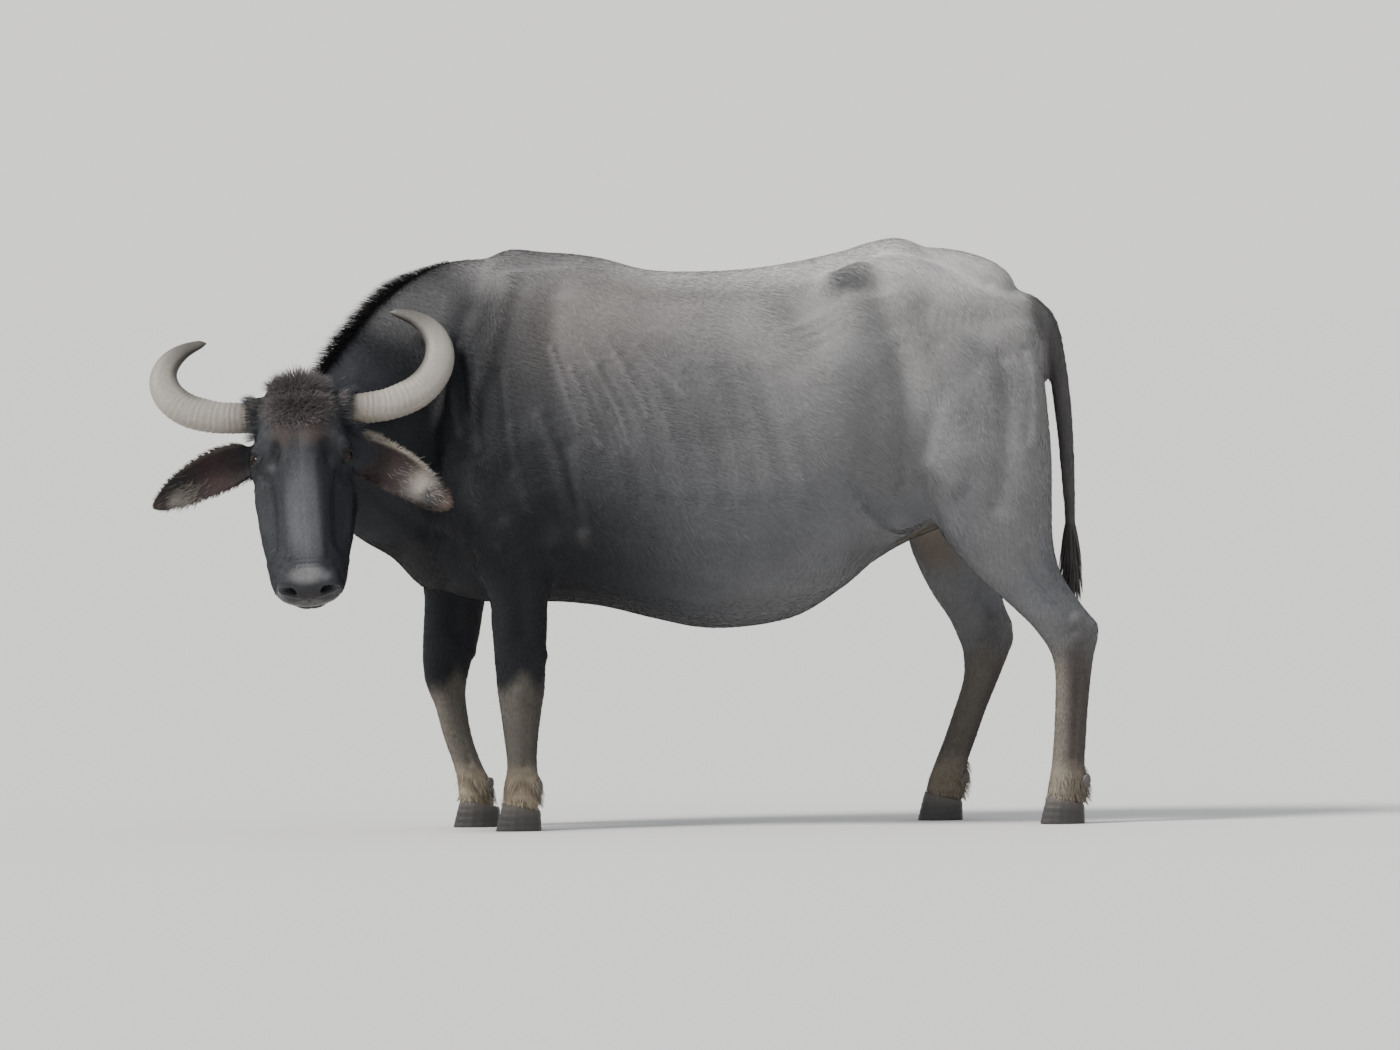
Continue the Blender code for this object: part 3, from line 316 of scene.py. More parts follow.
def fade(values: np.ndarray, low: float, high: float) -> np.ndarray:
    """Turns values into a smooth share, 0 at low and 1 at high."""
    share = np.clip((values - low) / (high - low), 0.0, 1.0)
    return share * share * (3 - 2 * share)


def section(half: float, up: float, down: float, power: float, under: float, count: int) -> np.ndarray:
    """Points of a closed section whose halves above and below its widest level may differ.

    Args:
        half: Half its width.
        up: Its height above the widest level.
        down: Its depth below that level.
        power: Roundness of the upper half, where 2 is an ellipse.
        under: Roundness of the lower half.
        count: How many points to make.

    Returns:
        One row of across and height for each point.
    """
    angles = np.arange(count) * 2 * np.pi / count
    cosine, sine = np.cos(angles), np.sin(angles)
    powers = np.where(sine >= 0, power, under)
    across = half * np.sign(cosine) * np.abs(cosine) ** (2 / powers)
    height = np.where(sine >= 0, up, down) * np.sign(sine) * np.abs(sine) ** (2 / powers)
    return np.column_stack([across, height])


@dataclass(frozen=True)
class HeadAxes:
    """The head's own frame: u runs from the poll to the muzzle, v to the animal's left, w out of the forehead."""

    yaw: float = math.radians(1.0)
    pitch: float = math.radians(64.0)
    roll: float = math.radians(3.2)
    forehead: tuple[float, float, float] = (-0.965, -0.290, 1.028)
    forehead_u: float = 0.060
    cut: tuple[float, float, float] = (-0.880, -0.110, 1.000)
    cut_normal: tuple[float, float, float] = (-0.50, -0.80, -0.15)

    @property
    def turn(self) -> Matrix:
        """The 3 x 3 matrix whose columns are u, v and w."""
        facing = Vector((-math.sin(self.yaw), -math.cos(self.yaw), 0.0))
        upright = Vector((0.0, 0.0, 1.0))
        along = facing * math.cos(self.pitch) - upright * math.sin(self.pitch)
        left = Vector((-facing.y, facing.x, 0.0))
        out = facing * math.sin(self.pitch) + upright * math.cos(self.pitch)
        roll = Matrix.Rotation(self.roll, 3, facing)
        return Matrix((roll @ along, roll @ left, roll @ out)).transposed()

    @property
    def origin(self) -> Vector:
        """Where u, v and w are all zero."""
        return Vector(self.forehead) + Vector(SHIFT) - self.turn @ Vector((self.forehead_u, 0.0, 0.0))

    def point(self, u: float, v: float, w: float) -> Vector:
        """A point of the head frame, in the world."""
        return self.origin + self.turn @ Vector((u, v, w))

    def direction(self, u: float, v: float, w: float) -> Vector:
        """A direction of the head frame, in the world, of length one."""
        return (self.turn @ Vector((u, v, w))).normalized()

    def local(self, points: np.ndarray) -> np.ndarray:
        """World points as rows of u, v and w."""
        return (points - np.array(self.origin)) @ np.array(self.turn)

    def ahead(self, points: np.ndarray) -> np.ndarray:
        """How far points lie in front of the plane between the neck and the head."""
        normal = np.array(Vector(self.cut_normal).normalized())
        return (points - np.array(self.cut) - SHIFT) @ normal


AXES = HeadAxes()


def loft(work: bmesh.types.BMesh, rings: np.ndarray) -> None:
    """Wraps a grid into the closed form over rings of points, each with the same count.

    Args:
        work: The mesh that the form is added to.
        rings: Points by ring, by place round the ring, by axis.
    """
    rows, columns = rings.shape[:2]
    closed = np.concatenate([rings, rings[:, :1]], axis=1)
    made = bmesh.ops.create_grid(work, x_segments=rows - 1, y_segments=columns, size=1.0)
    for vert in made["verts"]:
        i = round((vert.co.x + 1) / 2 * (rows - 1))
        j = round((vert.co.y + 1) / 2 * columns)
        vert.co = closed[i, j]
    bmesh.ops.remove_doubles(work, verts=made["verts"], dist=1e-7)
    rim = [edge for edge in work.edges if edge.is_boundary]
    bmesh.ops.holes_fill(work, edges=rim, sides=0)


def add_ball(work: bmesh.types.BMesh, centre: Vector, radii: Sequence[float], turn: Matrix | None = None) -> None:
    """Adds an ellipsoid.

    Args:
        work: The mesh that it is added to.
        centre: Its centre.
        radii: Its three radii.
        turn: The 3 x 3 matrix of its axes, if they aren't the world's.
    """
    axes = turn.to_4x4() if turn else Matrix.Identity(4)
    place = Matrix.Translation(centre) @ axes @ Matrix.Diagonal((*radii, 1.0))
    bmesh.ops.create_uvsphere(work, u_segments=28, v_segments=16, radius=1.0, matrix=place)


def tube_rings(rows: np.ndarray, sides: int, reference: Sequence[float] = (0.0, 1.0, 0.0)) -> np.ndarray:
    """Rings of a round bar along rows of x, y, z and radius."""
    path = rows[:, :3]
    tangents = unit(np.gradient(path, axis=0))
    first = unit(np.cross(tangents, np.array(reference)))
    second = np.cross(tangents, first)
    turns = np.arange(sides) * 2 * np.pi / sides
    around = np.cos(turns)[None, :, None] * first[:, None] + np.sin(turns)[None, :, None] * second[:, None]
    return path[:, None] + rows[:, 3, None, None] * around


def new_object(name: str, work: bmesh.types.BMesh, smooth: bool = True) -> bpy.types.Object:
    """Turns a mesh under work into an object whose faces point outward.

    Args:
        name: The name of the object.
        work: The finished mesh, which is freed.
        smooth: Whether its faces are shaded smoothly.

    Returns:
        The object, linked into the scene.
    """
    bmesh.ops.recalc_face_normals(work, faces=work.faces)
    for face in work.faces:
        face.smooth = smooth
    mesh = bpy.data.meshes.new(name)
    work.to_mesh(mesh)
    work.free()
    thing = bpy.data.objects.new(name, mesh)
    bpy.context.scene.collection.objects.link(thing)
    return thing


def apply_modifiers(thing: bpy.types.Object) -> None:
    """Replaces an object's mesh with its evaluated one."""
    graph = bpy.context.evaluated_depsgraph_get()
    graph.update()
    mesh = bpy.data.meshes.new_from_object(thing.evaluated_get(graph))
    old = thing.data
    thing.modifiers.clear()
    thing.data = mesh
    bpy.data.meshes.remove(old)


def voxel_remesh(thing: bpy.types.Object, voxel: float) -> None:
    """Turns overlapping forms into the one surface around them."""
    modifier = thing.modifiers.new("whole", "REMESH")
    modifier.mode = "VOXEL"
    modifier.voxel_size = voxel
    apply_modifiers(thing)


def shade_smooth(thing: bpy.types.Object) -> None:
    """Shades every face smoothly."""
    thing.data.polygons.foreach_set("use_smooth", np.ones(len(thing.data.polygons), bool))


class Surface:
    """The points of a mesh, held as rows while they are shaped."""

    def __init__(self, thing: bpy.types.Object) -> None:
        """Reads the points, edges and normals of an object's mesh."""
        self.thing = thing
        mesh = thing.data
        flat = np.empty(len(mesh.vertices) * 3)
        mesh.vertices.foreach_get("co", flat)
        self.points = flat.reshape(-1, 3)
        edges = np.empty(len(mesh.edges) * 2, np.int32)
        mesh.edges.foreach_get("vertices", edges)
        self.first, self.second = edges.reshape(-1, 2).T
        size = len(self.points)
        self.counts = np.bincount(self.first, minlength=size) + np.bincount(self.second, minlength=size)
        self.normals = self.read_normals()

    def read_normals(self) -> np.ndarray:
        """The mesh's vertex normals, as rows."""
        flat = np.empty(len(self.points) * 3, np.float32)
        self.thing.data.vertex_normals.foreach_get("vector", flat)
        return flat.reshape(-1, 3).astype(float)

    def commit(self) -> None:
        """Writes the points back and reads the new normals."""
        self.thing.data.vertices.foreach_set("co", np.ascontiguousarray(self.points).ravel())
        self.thing.data.update()
        self.normals = self.read_normals()

    def pull(self) -> np.ndarray:
        """The step from each point to the mean of its neighbours."""
        size = len(self.points)
        step = np.empty_like(self.points)
        for axis in range(3):
            there = np.bincount(self.first, self.points[self.second, axis], size)
            back = np.bincount(self.second, self.points[self.first, axis], size)
            step[:, axis] = (there + back) / self.counts - self.points[:, axis]
        return step

    def relax(self, blur: int, share: np.ndarray, rounds: int) -> None:
        """Blurs the surface by a share at each point, then smooths it while holding its volume.

        Args:
            blur: Rounds of plain blur.
            share: How much of the blur each point takes.
            rounds: Pairs of smoothing steps that hold the volume.
        """
        for _ in range(blur):
            self.points += 0.5 * share[:, None] * self.pull()
        for _ in range(rounds):
            self.points += 0.55 * self.pull()
            self.points -= 0.57 * self.pull()
        self.commit()

    def near(self, path: np.ndarray, reach: float) -> tuple[np.ndarray, np.ndarray]:
        """Finds the points near a path.

        Args:
            path: Points along the path.
            reach: How far from its box to look.

        Returns:
            The indices found and the distance of each from the path.
        """
        inside = np.all((self.points > path.min(axis=0) - reach) & (self.points < path.max(axis=0) + reach), axis=1)
        index = np.nonzero(inside)[0]
        spots = self.points[index]
        nearest = np.full(len(index), np.inf)
        for spot in path:
            nearest = np.minimum(nearest, ((spots - spot) ** 2).sum(axis=1))
        return index, np.sqrt(nearest)

    def swell(self, path: Sequence[Sequence[float]], width: float, height: float) -> None:
        """Raises a rounded ridge along a path, or sinks it where the height is negative.

        Args:
            path: World points that the ridge passes.
            width: Its spread to each side.
            height: Its height.
        """
        line = np.array([tuple(spot) for spot in path], float)
        if len(line) > 1:
            longest = np.linalg.norm(np.diff(line, axis=0), axis=1).max()
            line = smooth_rows(line, max(2, int(longest / (0.45 * width)) + 1))
        index, distance = self.near(line, 3 * width)
        lift = height * np.exp(-((distance / width) ** 2))
        self.points[index] += self.normals[index] * lift[:, None]


@dataclass(frozen=True)
class EyeShape:
    """The place and size of the eyes, in the head frame."""

    u: float = 0.167
    v: float = 0.103
    w: float = -0.048
    radius: float = 0.0205
    half_length: float = 0.0205
    half_height: float = 0.0112

    def centre(self, side: Side) -> Vector:
        """The centre of one eyeball."""
        return AXES.point(self.u, side.value * self.v, self.w)

    def look(self, side: Side) -> tuple[Vector, Vector, Vector]:
        """The directions out of one eye, along its lids and up across them."""
        out = AXES.direction(0.06, side.value * 0.78, 0.62)
        rise = AXES.direction(-1.0, side.value * 0.10, 0.0)
        rise = (rise - out * rise.dot(out)).normalized()
        return out, out.cross(rise), rise


EYE = EyeShape()


@dataclass(frozen=True)
class EarShape:
    """One ear: a cupped leaf from its root on the head to its tip."""

    side: Side
    root_w: float
    tip: tuple[float, float, float]
    facing: tuple[float, float, float]
    sag: float
    # Share of the length, half width, depth of the cup and thickness
    rows: Rows = (
        (-0.06, 0.026, 0.002, 0.044),
        (0.00, 0.030, 0.006, 0.040),
        (0.10, 0.039, 0.016, 0.028),
        (0.22, 0.049, 0.025, 0.016),
        (0.36, 0.053, 0.027, 0.010),
        (0.50, 0.052, 0.025, 0.009),
        (0.64, 0.047, 0.020, 0.008),
        (0.77, 0.038, 0.014, 0.008),
        (0.88, 0.027, 0.008, 0.007),
        (0.96, 0.015, 0.003, 0.006),
        (0.995, 0.005, 0.001, 0.005),
    )

    def frame(self) -> tuple[Vector, Vector, Vector, Vector, float]:
        """The root, the axis, the facing, the way across and the length."""
        root = AXES.point(0.115, self.side.value * 0.105, self.root_w)
        reach = Vector(self.tip) + Vector(SHIFT) - root
        axis = reach.normalized()
        facing = Vector(self.facing)
        facing = (facing - axis * facing.dot(axis)).normalized()
        return root, axis, facing, axis.cross(facing), reach.length

    def place(self, share: float, spread: float, depth: float = 0.0) -> np.ndarray:
        """A point of the ear's middle sheet.

        Args:
            share: Share of the length, from the root.
            spread: Place across, from -1 to 1.
            depth: How far in front of the sheet.

        Returns:
            The point, in the world.
        """
        root, axis, facing, across, length = self.frame()
        shares, halves, cups, _ = np.array(self.rows).T
        half = float(np.interp(share, shares, halves))
        cup = float(np.interp(share, shares, cups))
        rise = Vector((0, 0, 1)) * self.sag * math.sin(math.pi * max(share, 0.0))
        spot = root + axis * length * share + rise
        return np.array(spot + across * half * spread + facing * (cup * spread**2 - cup + depth))

    def measure(self, points: np.ndarray) -> tuple[np.ndarray, np.ndarray, np.ndarray]:
        """Share of the length, place across and depth in front of the sheet, for each point."""
        root, axis, facing, across, length = self.frame()
        shares, halves, cups, _ = np.array(self.rows).T
        share = (points - np.array(root)) @ np.array(axis) / length
        rise = np.array((0, 0, self.sag)) * np.sin(np.pi * np.clip(share, 0.0, 1.0))[:, None]
        offset = points - np.array(root) - rise
        half = np.interp(share, shares, halves)
        cup = np.interp(share, shares, cups)
        spread = offset @ np.array(across) / half
        depth = offset @ np.array(facing) - (cup * np.clip(spread, -1.2, 1.2) ** 2 - cup)
        return share, spread * math.copysign(1.0, across.z), depth

    def part(self, points: np.ndarray) -> np.ndarray:
        """A share for each point, one on this ear and zero elsewhere."""
        share, spread, depth = self.measure(points)
        shares, _, _, thick = np.array(self.rows).T
        limit = np.interp(share, shares, thick) / 2
        near = 1.0 - fade(np.abs(depth) - limit, 0.008, 0.016)
        wide = 1.0 - fade(np.abs(spread), 1.25, 1.5)
        off_head = fade(self.side.value * AXES.local(points)[:, 1], 0.122, 0.142)
        tip = 1.0 - fade(np.linalg.norm(points - self.place(0.96, 0.0), axis=1), 0.040, 0.055)
        body = near * wide * (share > -0.05) * (share < 1.1)
        return off_head * np.maximum(body, tip)

    def rings(self) -> np.ndarray:
        """Rings of the ear, each round a crescent section."""
        root, axis, facing, across, length = self.frame()
        spread = np.linspace(-1.0, 1.0, 13)
        rim = 1.0 - 0.80 * spread**6
        rings = []
        for share, half, cup, thick in smooth_rows(self.rows, 4):
            rise = Vector((0, 0, 1)) * self.sag * math.sin(math.pi * max(share, 0.0))
            centre = np.array(root + axis * length * share + rise)
            middle = centre + np.outer(spread * half, across) + np.outer(cup * spread**2 - cup, facing)
            edge = np.outer(rim * thick / 2, facing)
            rings.append(np.vstack([middle - edge, (middle + edge)[::-1]]))
        return np.array(rings)


EARS = (
    EarShape(Side.LEFT, -0.100, (-0.600, -0.340, 0.792), (0.10, -1.0, 0.05), 0.012),
    EarShape(Side.RIGHT, -0.110, (-1.322, -0.260, 0.797), (-0.15, -1.0, 0.10), 0.010),
)


@dataclass(frozen=True)
class Fold:
    """A ridge or a hollow of the hide on one flank, named by what it follows."""

    name: str
    path: tuple[tuple[float, float], ...]
    width: float
    height: float
    # How much painted highlight is laid along its crest
    tint: float = 0.0


# Bones, muscles and hollows of the trunk, as x and z of the drawing
FORMS = (
    Fold("hook", ((0.335, 1.318), (0.385, 1.335)), 0.033, 0.026),
    Fold("hollow before the hook", ((0.262, 1.250), (0.300, 1.190)), 0.078, -0.028),
    Fold("hollow behind the hook", ((0.445, 1.300), (0.470, 1.220)), 0.045, -0.014),
    Fold("hook to pin", ((0.570, 1.250), (0.690, 1.215)), 0.055, -0.016),
    Fold("beside the sacrum", ((0.440, 1.392), (0.580, 1.372), (0.700, 1.312)), 0.022, -0.006),
    Fold("pin bone", ((0.795, 1.195),), 0.034, 0.010),
    Fold("hip joint", ((0.600, 1.070),), 0.060, 0.012),
    Fold("scapula spine", ((-0.455, 1.330), (-0.500, 1.180), (-0.570, 0.960)), 0.024, 0.009),
    Fold("before the scapula", ((-0.555, 1.260), (-0.610, 1.120), (-0.660, 0.960)), 0.032, -0.013),
    Fold("behind the scapula", ((-0.345, 1.300), (-0.345, 1.150), (-0.315, 0.960)), 0.042, -0.013),
    Fold("withers side", ((-0.480, 1.360), (-0.330, 1.372)), 0.020, -0.004),
    Fold("shoulder point", ((-0.645, 0.815),), 0.050, 0.015),
    Fold("triceps", ((-0.420, 0.930), (-0.385, 0.830)), 0.055, 0.013),
    Fold("behind the triceps", ((-0.318, 0.930), (-0.290, 0.740)), 0.022, -0.010),
    Fold("elbow", ((-0.350, 0.695),), 0.032, 0.012),
    Fold("arm groove", ((-0.565, 0.900), (-0.490, 0.770)), 0.026, -0.009),
    Fold("jugular groove", ((-0.860, 0.900), (-0.760, 0.800), (-0.690, 0.740)), 0.022, -0.010),
    Fold("neck muscle", ((-0.820, 1.110), (-0.720, 1.060), (-0.640, 0.980)), 0.030, 0.008),
    Fold("thigh front", ((0.492, 1.160), (0.505, 1.040), (0.500, 0.920), (0.505, 0.830)), 0.036, -0.011),
    Fold("thigh muscle", ((0.600, 1.000), (0.620, 0.900)), 0.055, 0.010),
    Fold("thigh rear", ((0.742, 1.130), (0.752, 1.000), (0.742, 0.880), (0.725, 0.780)), 0.032, -0.009),
    Fold("buttock", ((0.810, 1.080), (0.815, 0.950)), 0.030, 0.006),
    Fold("stifle", ((0.565, 0.870), (0.610, 0.830)), 0.030, 0.010),
    Fold("flank web", ((0.385, 0.775), (0.440, 0.730), (0.500, 0.715)), 0.018, 0.010),
    Fold("above the web", ((0.380, 0.840), (0.440, 0.800), (0.500, 0.785)), 0.028, -0.010),
)
RIBS = tuple(
    Fold(f"rib {i}", ((x, 1.120), (x + 0.045, 0.980), (x + 0.080, 0.820)), 0.022, 0.0022)
    for i, x in enumerate(np.arange(-0.255, 0.24, 0.071).tolist())
)

# Folds of the animal's left flank, as x and z of the drawing
FOLDS = (
    Fold("rib fold a", ((-0.310, 1.118), (-0.282, 1.052), (-0.270, 1.000), (-0.242, 0.932)), 0.0085, 0.0028, 0.45),
    Fold("rib fold b", ((-0.250, 1.128), (-0.222, 1.066), (-0.196, 1.018), (-0.172, 0.940)), 0.0085, 0.0026, 0.45),
    Fold("rib fold c", ((-0.204, 1.150), (-0.172, 1.094), (-0.142, 1.050), (-0.124, 1.004)), 0.0080, 0.0024, 0.40),
    Fold("rib fold d", ((-0.150, 1.176), (-0.112, 1.128), (-0.072, 1.098), (-0.036, 1.050)), 0.0080, 0.0020, 0.30),
    Fold("rib fold e", ((-0.356, 1.170), (-0.334, 1.108), (-0.318, 1.050), (-0.290, 0.970)), 0.0085, 0.0024, 0.30),
    Fold("rib fold f", ((-0.282, 1.180), (-0.256, 1.130), (-0.240, 1.092)), 0.0070, 0.0018, 0.30),
    Fold("rib fold g", ((-0.228, 1.196), (-0.196, 1.150), (-0.176, 1.118)), 0.0070, 0.0018, 0.25),
    Fold("rib fold h", ((-0.216, 1.010), (-0.196, 0.962), (-0.182, 0.910)), 0.0070, 0.0018, 0.25),
    Fold("rib fold i", ((-0.108, 1.040), (-0.084, 1.006), (-0.070, 0.960)), 0.0070, 0.0016, 0.20),
    Fold("between a", ((-0.280, 1.100), (-0.248, 1.026), (-0.212, 0.925)), 0.0100, -0.0020),
    Fold("between b", ((-0.228, 1.125), (-0.190, 1.050), (-0.150, 0.965)), 0.0100, -0.0020),
    Fold("between c", ((-0.178, 1.160), (-0.134, 1.094), (-0.085, 1.020)), 0.0100, -0.0016),
    Fold("shoulder rear a", ((-0.389, 1.006), (-0.352, 0.908), (-0.326, 0.798), (-0.280, 0.700)), 0.0180, 0.0030, 0.14),
    Fold("shoulder rear b", ((-0.358, 1.000), (-0.325, 0.905), (-0.294, 0.800)), 0.0180, -0.0024),
    Fold("shoulder front a", ((-0.455, 0.980), (-0.440, 0.880), (-0.420, 0.780)), 0.0120, 0.0036, 0.12),
    Fold("shoulder front b", ((-0.480, 1.120), (-0.470, 1.000), (-0.455, 0.880)), 0.0120, -0.0036),
    Fold("neck fold a", ((-0.610, 1.180), (-0.600, 1.080), (-0.585, 0.970)), 0.0120, 0.0050, 0.12),
    Fold("neck fold b", ((-0.585, 1.190), (-0.572, 1.080), (-0.560, 0.960)), 0.0120, -0.0050),
    Fold("neck fold c", ((-0.560, 1.150), (-0.545, 1.040), (-0.535, 0.930)), 0.0120, 0.0050, 0.10),
    Fold("brisket fold a", ((-0.640, 0.760), (-0.560, 0.700), (-0.490, 0.690)), 0.0120, 0.0044, 0.06),
    Fold("brisket fold b", ((-0.640, 0.730), (-0.560, 0.668), (-0.490, 0.655)), 0.0120, -0.0040),
    Fold("tail groove", ((0.790, 1.150), (0.800, 1.050), (0.795, 0.940)), 0.0160, -0.0034),
)


# Grooves and bumps of the legs, as height and place from the front edge (-1) to the rear (1)
FORE_FORMS = (
    Fold("forearm groove", ((0.640, 0.05), (0.480, 0.15)), 0.016, -0.007),
    Fold("extensor", ((0.620, -0.45), (0.480, -0.45)), 0.018, 0.004),
    Fold("carpus", ((0.410, -0.80), (0.370, -0.80)), 0.022, 0.005),
    Fold("pisiform", ((0.425, 0.92),), 0.016, 0.008),
    Fold("carpus hollow", ((0.395, 0.30),), 0.016, -0.004),
    Fold("tendon groove", ((0.340, 0.30), (0.160, 0.28)), 0.010, -0.005),
    Fold("fetlock", ((0.118, 0.70),), 0.018, 0.004),
    Fold("fetlock side", ((0.118, -0.10),), 0.016, 0.003),
    Fold("above the coronet", ((0.082, -0.80), (0.078, 0.00), (0.074, 0.80)), 0.008, 0.003),
)
HIND_FORMS = (
    Fold("before the tendon", ((0.650, 0.42), (0.575, 0.48), (0.515, 0.55)), 0.017, -0.013),
    Fold("hock point", ((0.480, 0.92),), 0.018, 0.005),
    Fold("hock side", ((0.430, -0.10),), 0.020, 0.005),
    Fold("hock hollow", ((0.468, 0.25),), 0.014, -0.005),
    Fold("tendon groove", ((0.360, 0.32), (0.160, 0.30)), 0.010, -0.005),
    Fold("fetlock", ((0.110, 0.70),), 0.018, 0.004),
    Fold("fetlock side", ((0.112, -0.10),), 0.016, 0.003),
    Fold("above the coronet", ((0.078, -0.80), (0.074, 0.00), (0.068, 0.80)), 0.008, 0.003),
)


@dataclass(frozen=True)
class FaceForm:
    """A ridge or a hollow of the face on both sides, as u, v and w of the head."""

    name: str
    path: tuple[tuple[float, float, float], ...]
    width: float
    height: float


FACE_FORMS = (
    FaceForm("beside the nasal bone", ((0.230, 0.084, -0.040), (0.300, 0.080, -0.048), (0.390, 0.078, -0.052)), 0.024, -0.013),
    FaceForm("nasal ridge", ((0.200, 0.036, 0.028), (0.300, 0.040, 0.006), (0.440, 0.042, -0.008)), 0.010, 0.0050),
    FaceForm("temple", ((0.100, 0.120, -0.090),), 0.028, -0.009),
    FaceForm("brow", ((0.128, 0.086, -0.004), (0.146, 0.106, -0.018), (0.160, 0.120, -0.038)), 0.013, 0.0070),
    FaceForm("orbit rear", ((0.138, 0.118, -0.062), (0.160, 0.124, -0.072)), 0.010, 0.0040),
    FaceForm("inner corner", ((0.165, 0.064, 0.018), (0.195, 0.076, 0.000)), 0.018, -0.012),
    FaceForm("below the eye", ((0.198, 0.108, -0.050), (0.214, 0.104, -0.052)), 0.016, -0.008),
    FaceForm("under lid", ((0.186, 0.106, -0.064), (0.190, 0.100, -0.040)), 0.008, 0.0024),
    FaceForm("forehead boss", ((0.085, 0.052, 0.030),), 0.028, 0.006),
    FaceForm("facial crest", ((0.225, 0.114, -0.088), (0.290, 0.112, -0.084), (0.345, 0.104, -0.080)), 0.014, 0.0065),
    FaceForm("below the crest", ((0.225, 0.118, -0.118), (0.330, 0.110, -0.112)), 0.014, -0.006),
    FaceForm("cheek border", ((0.130, 0.118, -0.150), (0.200, 0.116, -0.190), (0.235, 0.104, -0.215)), 0.014, -0.005),
    FaceForm("masseter", ((0.170, 0.112, -0.150), (0.215, 0.110, -0.160)), 0.035, 0.006),
    FaceForm("nostril wing", ((0.500, 0.062, -0.030), (0.522, 0.064, -0.048)), 0.012, 0.0050),
    FaceForm("behind the nostril", ((0.462, 0.066, -0.040), (0.478, 0.078, -0.062)), 0.013, -0.0050),
    FaceForm("upper lip", ((0.500, 0.070, -0.086), (0.470, 0.084, -0.090), (0.420, 0.092, -0.098)), 0.010, 0.0040),
    FaceForm("lower lip", ((0.500, 0.060, -0.122), (0.460, 0.078, -0.128), (0.410, 0.088, -0.134)), 0.011, 0.0045),
)


class Flesh:
    """The one skin of the animal, shaped from lofts and fused."""

    ring_count: int = 40
    body_rounds: int = 8
    trunk_blur: int = 90
    head_blur: int = 9

    def __init__(self) -> None:
        """Starts with nothing built."""
        self.skin: bpy.types.Object | None = None
        self.surface: Surface | None = None

    def add_torso(self, work: bmesh.types.BMesh) -> None:
        """Adds the barrel of the body."""
        rings = []
        for x, low, wide, high, half, power in smooth_rows(TORSO, 4):
            shape = section(half, high - wide, wide - low, power, 2.15, self.ring_count)
            rings.append(np.column_stack([np.full(len(shape), x), shape[:, 0], wide + shape[:, 1]]))
        loft(work, np.array(rings) + SHIFT)

    def add_neck(self, work: bmesh.types.BMesh) -> None:
        """Adds the neck, thin at the crest."""
        rows = smooth_rows(NECK, 4)
        crests, throats = rows[:, :3], rows[:, 3:6]
        centres = (crests + throats) / 2
        rises = (crests - throats) / 2
        sides = unit(np.cross(rises, np.gradient(centres, axis=0)))
        rings = []
        for centre, rise, side, half in zip(centres, rises, sides, rows[:, 6]):
            across, height = section(half, 1.0, 1.0, 1.8, 2.0, self.ring_count).T
            rings.append(centre + np.outer(across * (1.0 - 0.22 * height), side) + np.outer(height, rise))
        loft(work, np.array(rings) + SHIFT)

    def add_head(self, work: bmesh.types.BMesh) -> None:
        """Adds the head and its bony and fleshy forms."""
        turn, origin = np.array(AXES.turn), np.array(AXES.origin)
        rings = []
        for u, top, wide, low, half, power in smooth_rows(HEAD, 4):
            shape = section(half, top - wide, wide - low, power, 1.9, self.ring_count)
            local = np.column_stack([np.full(len(shape), u), shape[:, 0], wide + shape[:, 1]])
            rings.append(origin + local @ turn.T)
        loft(work, np.array(rings))
        lids = EYE.radius + 0.0058
        paired = (
            ((0.152, 0.094, -0.028), (0.044, 0.026, 0.026)),
            ((EYE.u, EYE.v, EYE.w), (lids, lids, lids)),
            ((0.140, 0.106, -0.105), (0.080, 0.026, 0.030)),
            ((0.235, 0.085, -0.165), (0.105, 0.038, 0.062)),
            ((0.494, 0.052, -0.036), (0.032, 0.027, 0.023)),
            ((0.470, 0.058, -0.082), (0.044, 0.035, 0.026)),
            ((0.045, 0.092, -0.048), (0.050, 0.045, 0.045)),
        )
        for (u, v, w), radii in paired:
            for side in Side:
                add_ball(work, AXES.point(u, side.value * v, w), radii, AXES.turn)
        add_ball(work, AXES.point(0.505, 0.0, -0.121), (0.030, 0.050, 0.022), AXES.turn)
        add_ball(work, AXES.point(0.012, 0.0, -0.040), (0.060, 0.088, 0.056), AXES.turn)

    def add_leg(self, work: bmesh.types.BMesh, outline: Rows, breadths: Rows, side: float) -> None:
        """Adds a leg, as level rings from the shoulder or hip down into the foot."""
        heights, fronts, rears = smooth_rows(outline, 3).T
        levels, centres, halves = np.array(breadths)[::-1].T
        angles = np.arange(32) * 2 * np.pi / 32
        along = np.sign(np.cos(angles)) * np.abs(np.cos(angles)) ** 0.88
        across = np.sign(np.sin(angles)) * np.abs(np.sin(angles)) ** 0.88 * (1 - REAR_PINCH * along)
        rings = []
        for height, front, rear in zip(heights, fronts, rears):
            centre = side * np.interp(height, levels, centres)
            half = np.interp(height, levels, halves)
            x = (front + rear) / 2 + (rear - front) / 2 * along
            rings.append(np.column_stack([x, centre + half * across, np.full(len(x), height)]))
        loft(work, np.array(rings) + SHIFT)

    def add_muscle(self, work: bmesh.types.BMesh) -> None:
        """Adds the masses of shoulder, chest and rump."""
        paired = (
            ((0.600, 0.150, 1.090), (0.130, 0.075, 0.130)),
            ((-0.610, 0.140, 0.820), (0.085, 0.072, 0.120)),
            ((-0.430, 0.165, 0.810), (0.150, 0.090, 0.150)),
            ((-0.470, 0.115, 1.040), (0.140, 0.088, 0.250)),
            ((0.500, 0.175, 0.820), (0.090, 0.036, 0.110)),
        )
        for (x, y, z), radii in paired:
            for side in Side:
                add_ball(work, Vector((x, side.value * y, z)) + Vector(SHIFT), radii)
        add_ball(work, Vector((0.540, 0.0, 1.300)) + Vector(SHIFT), (0.240, 0.090, 0.105))

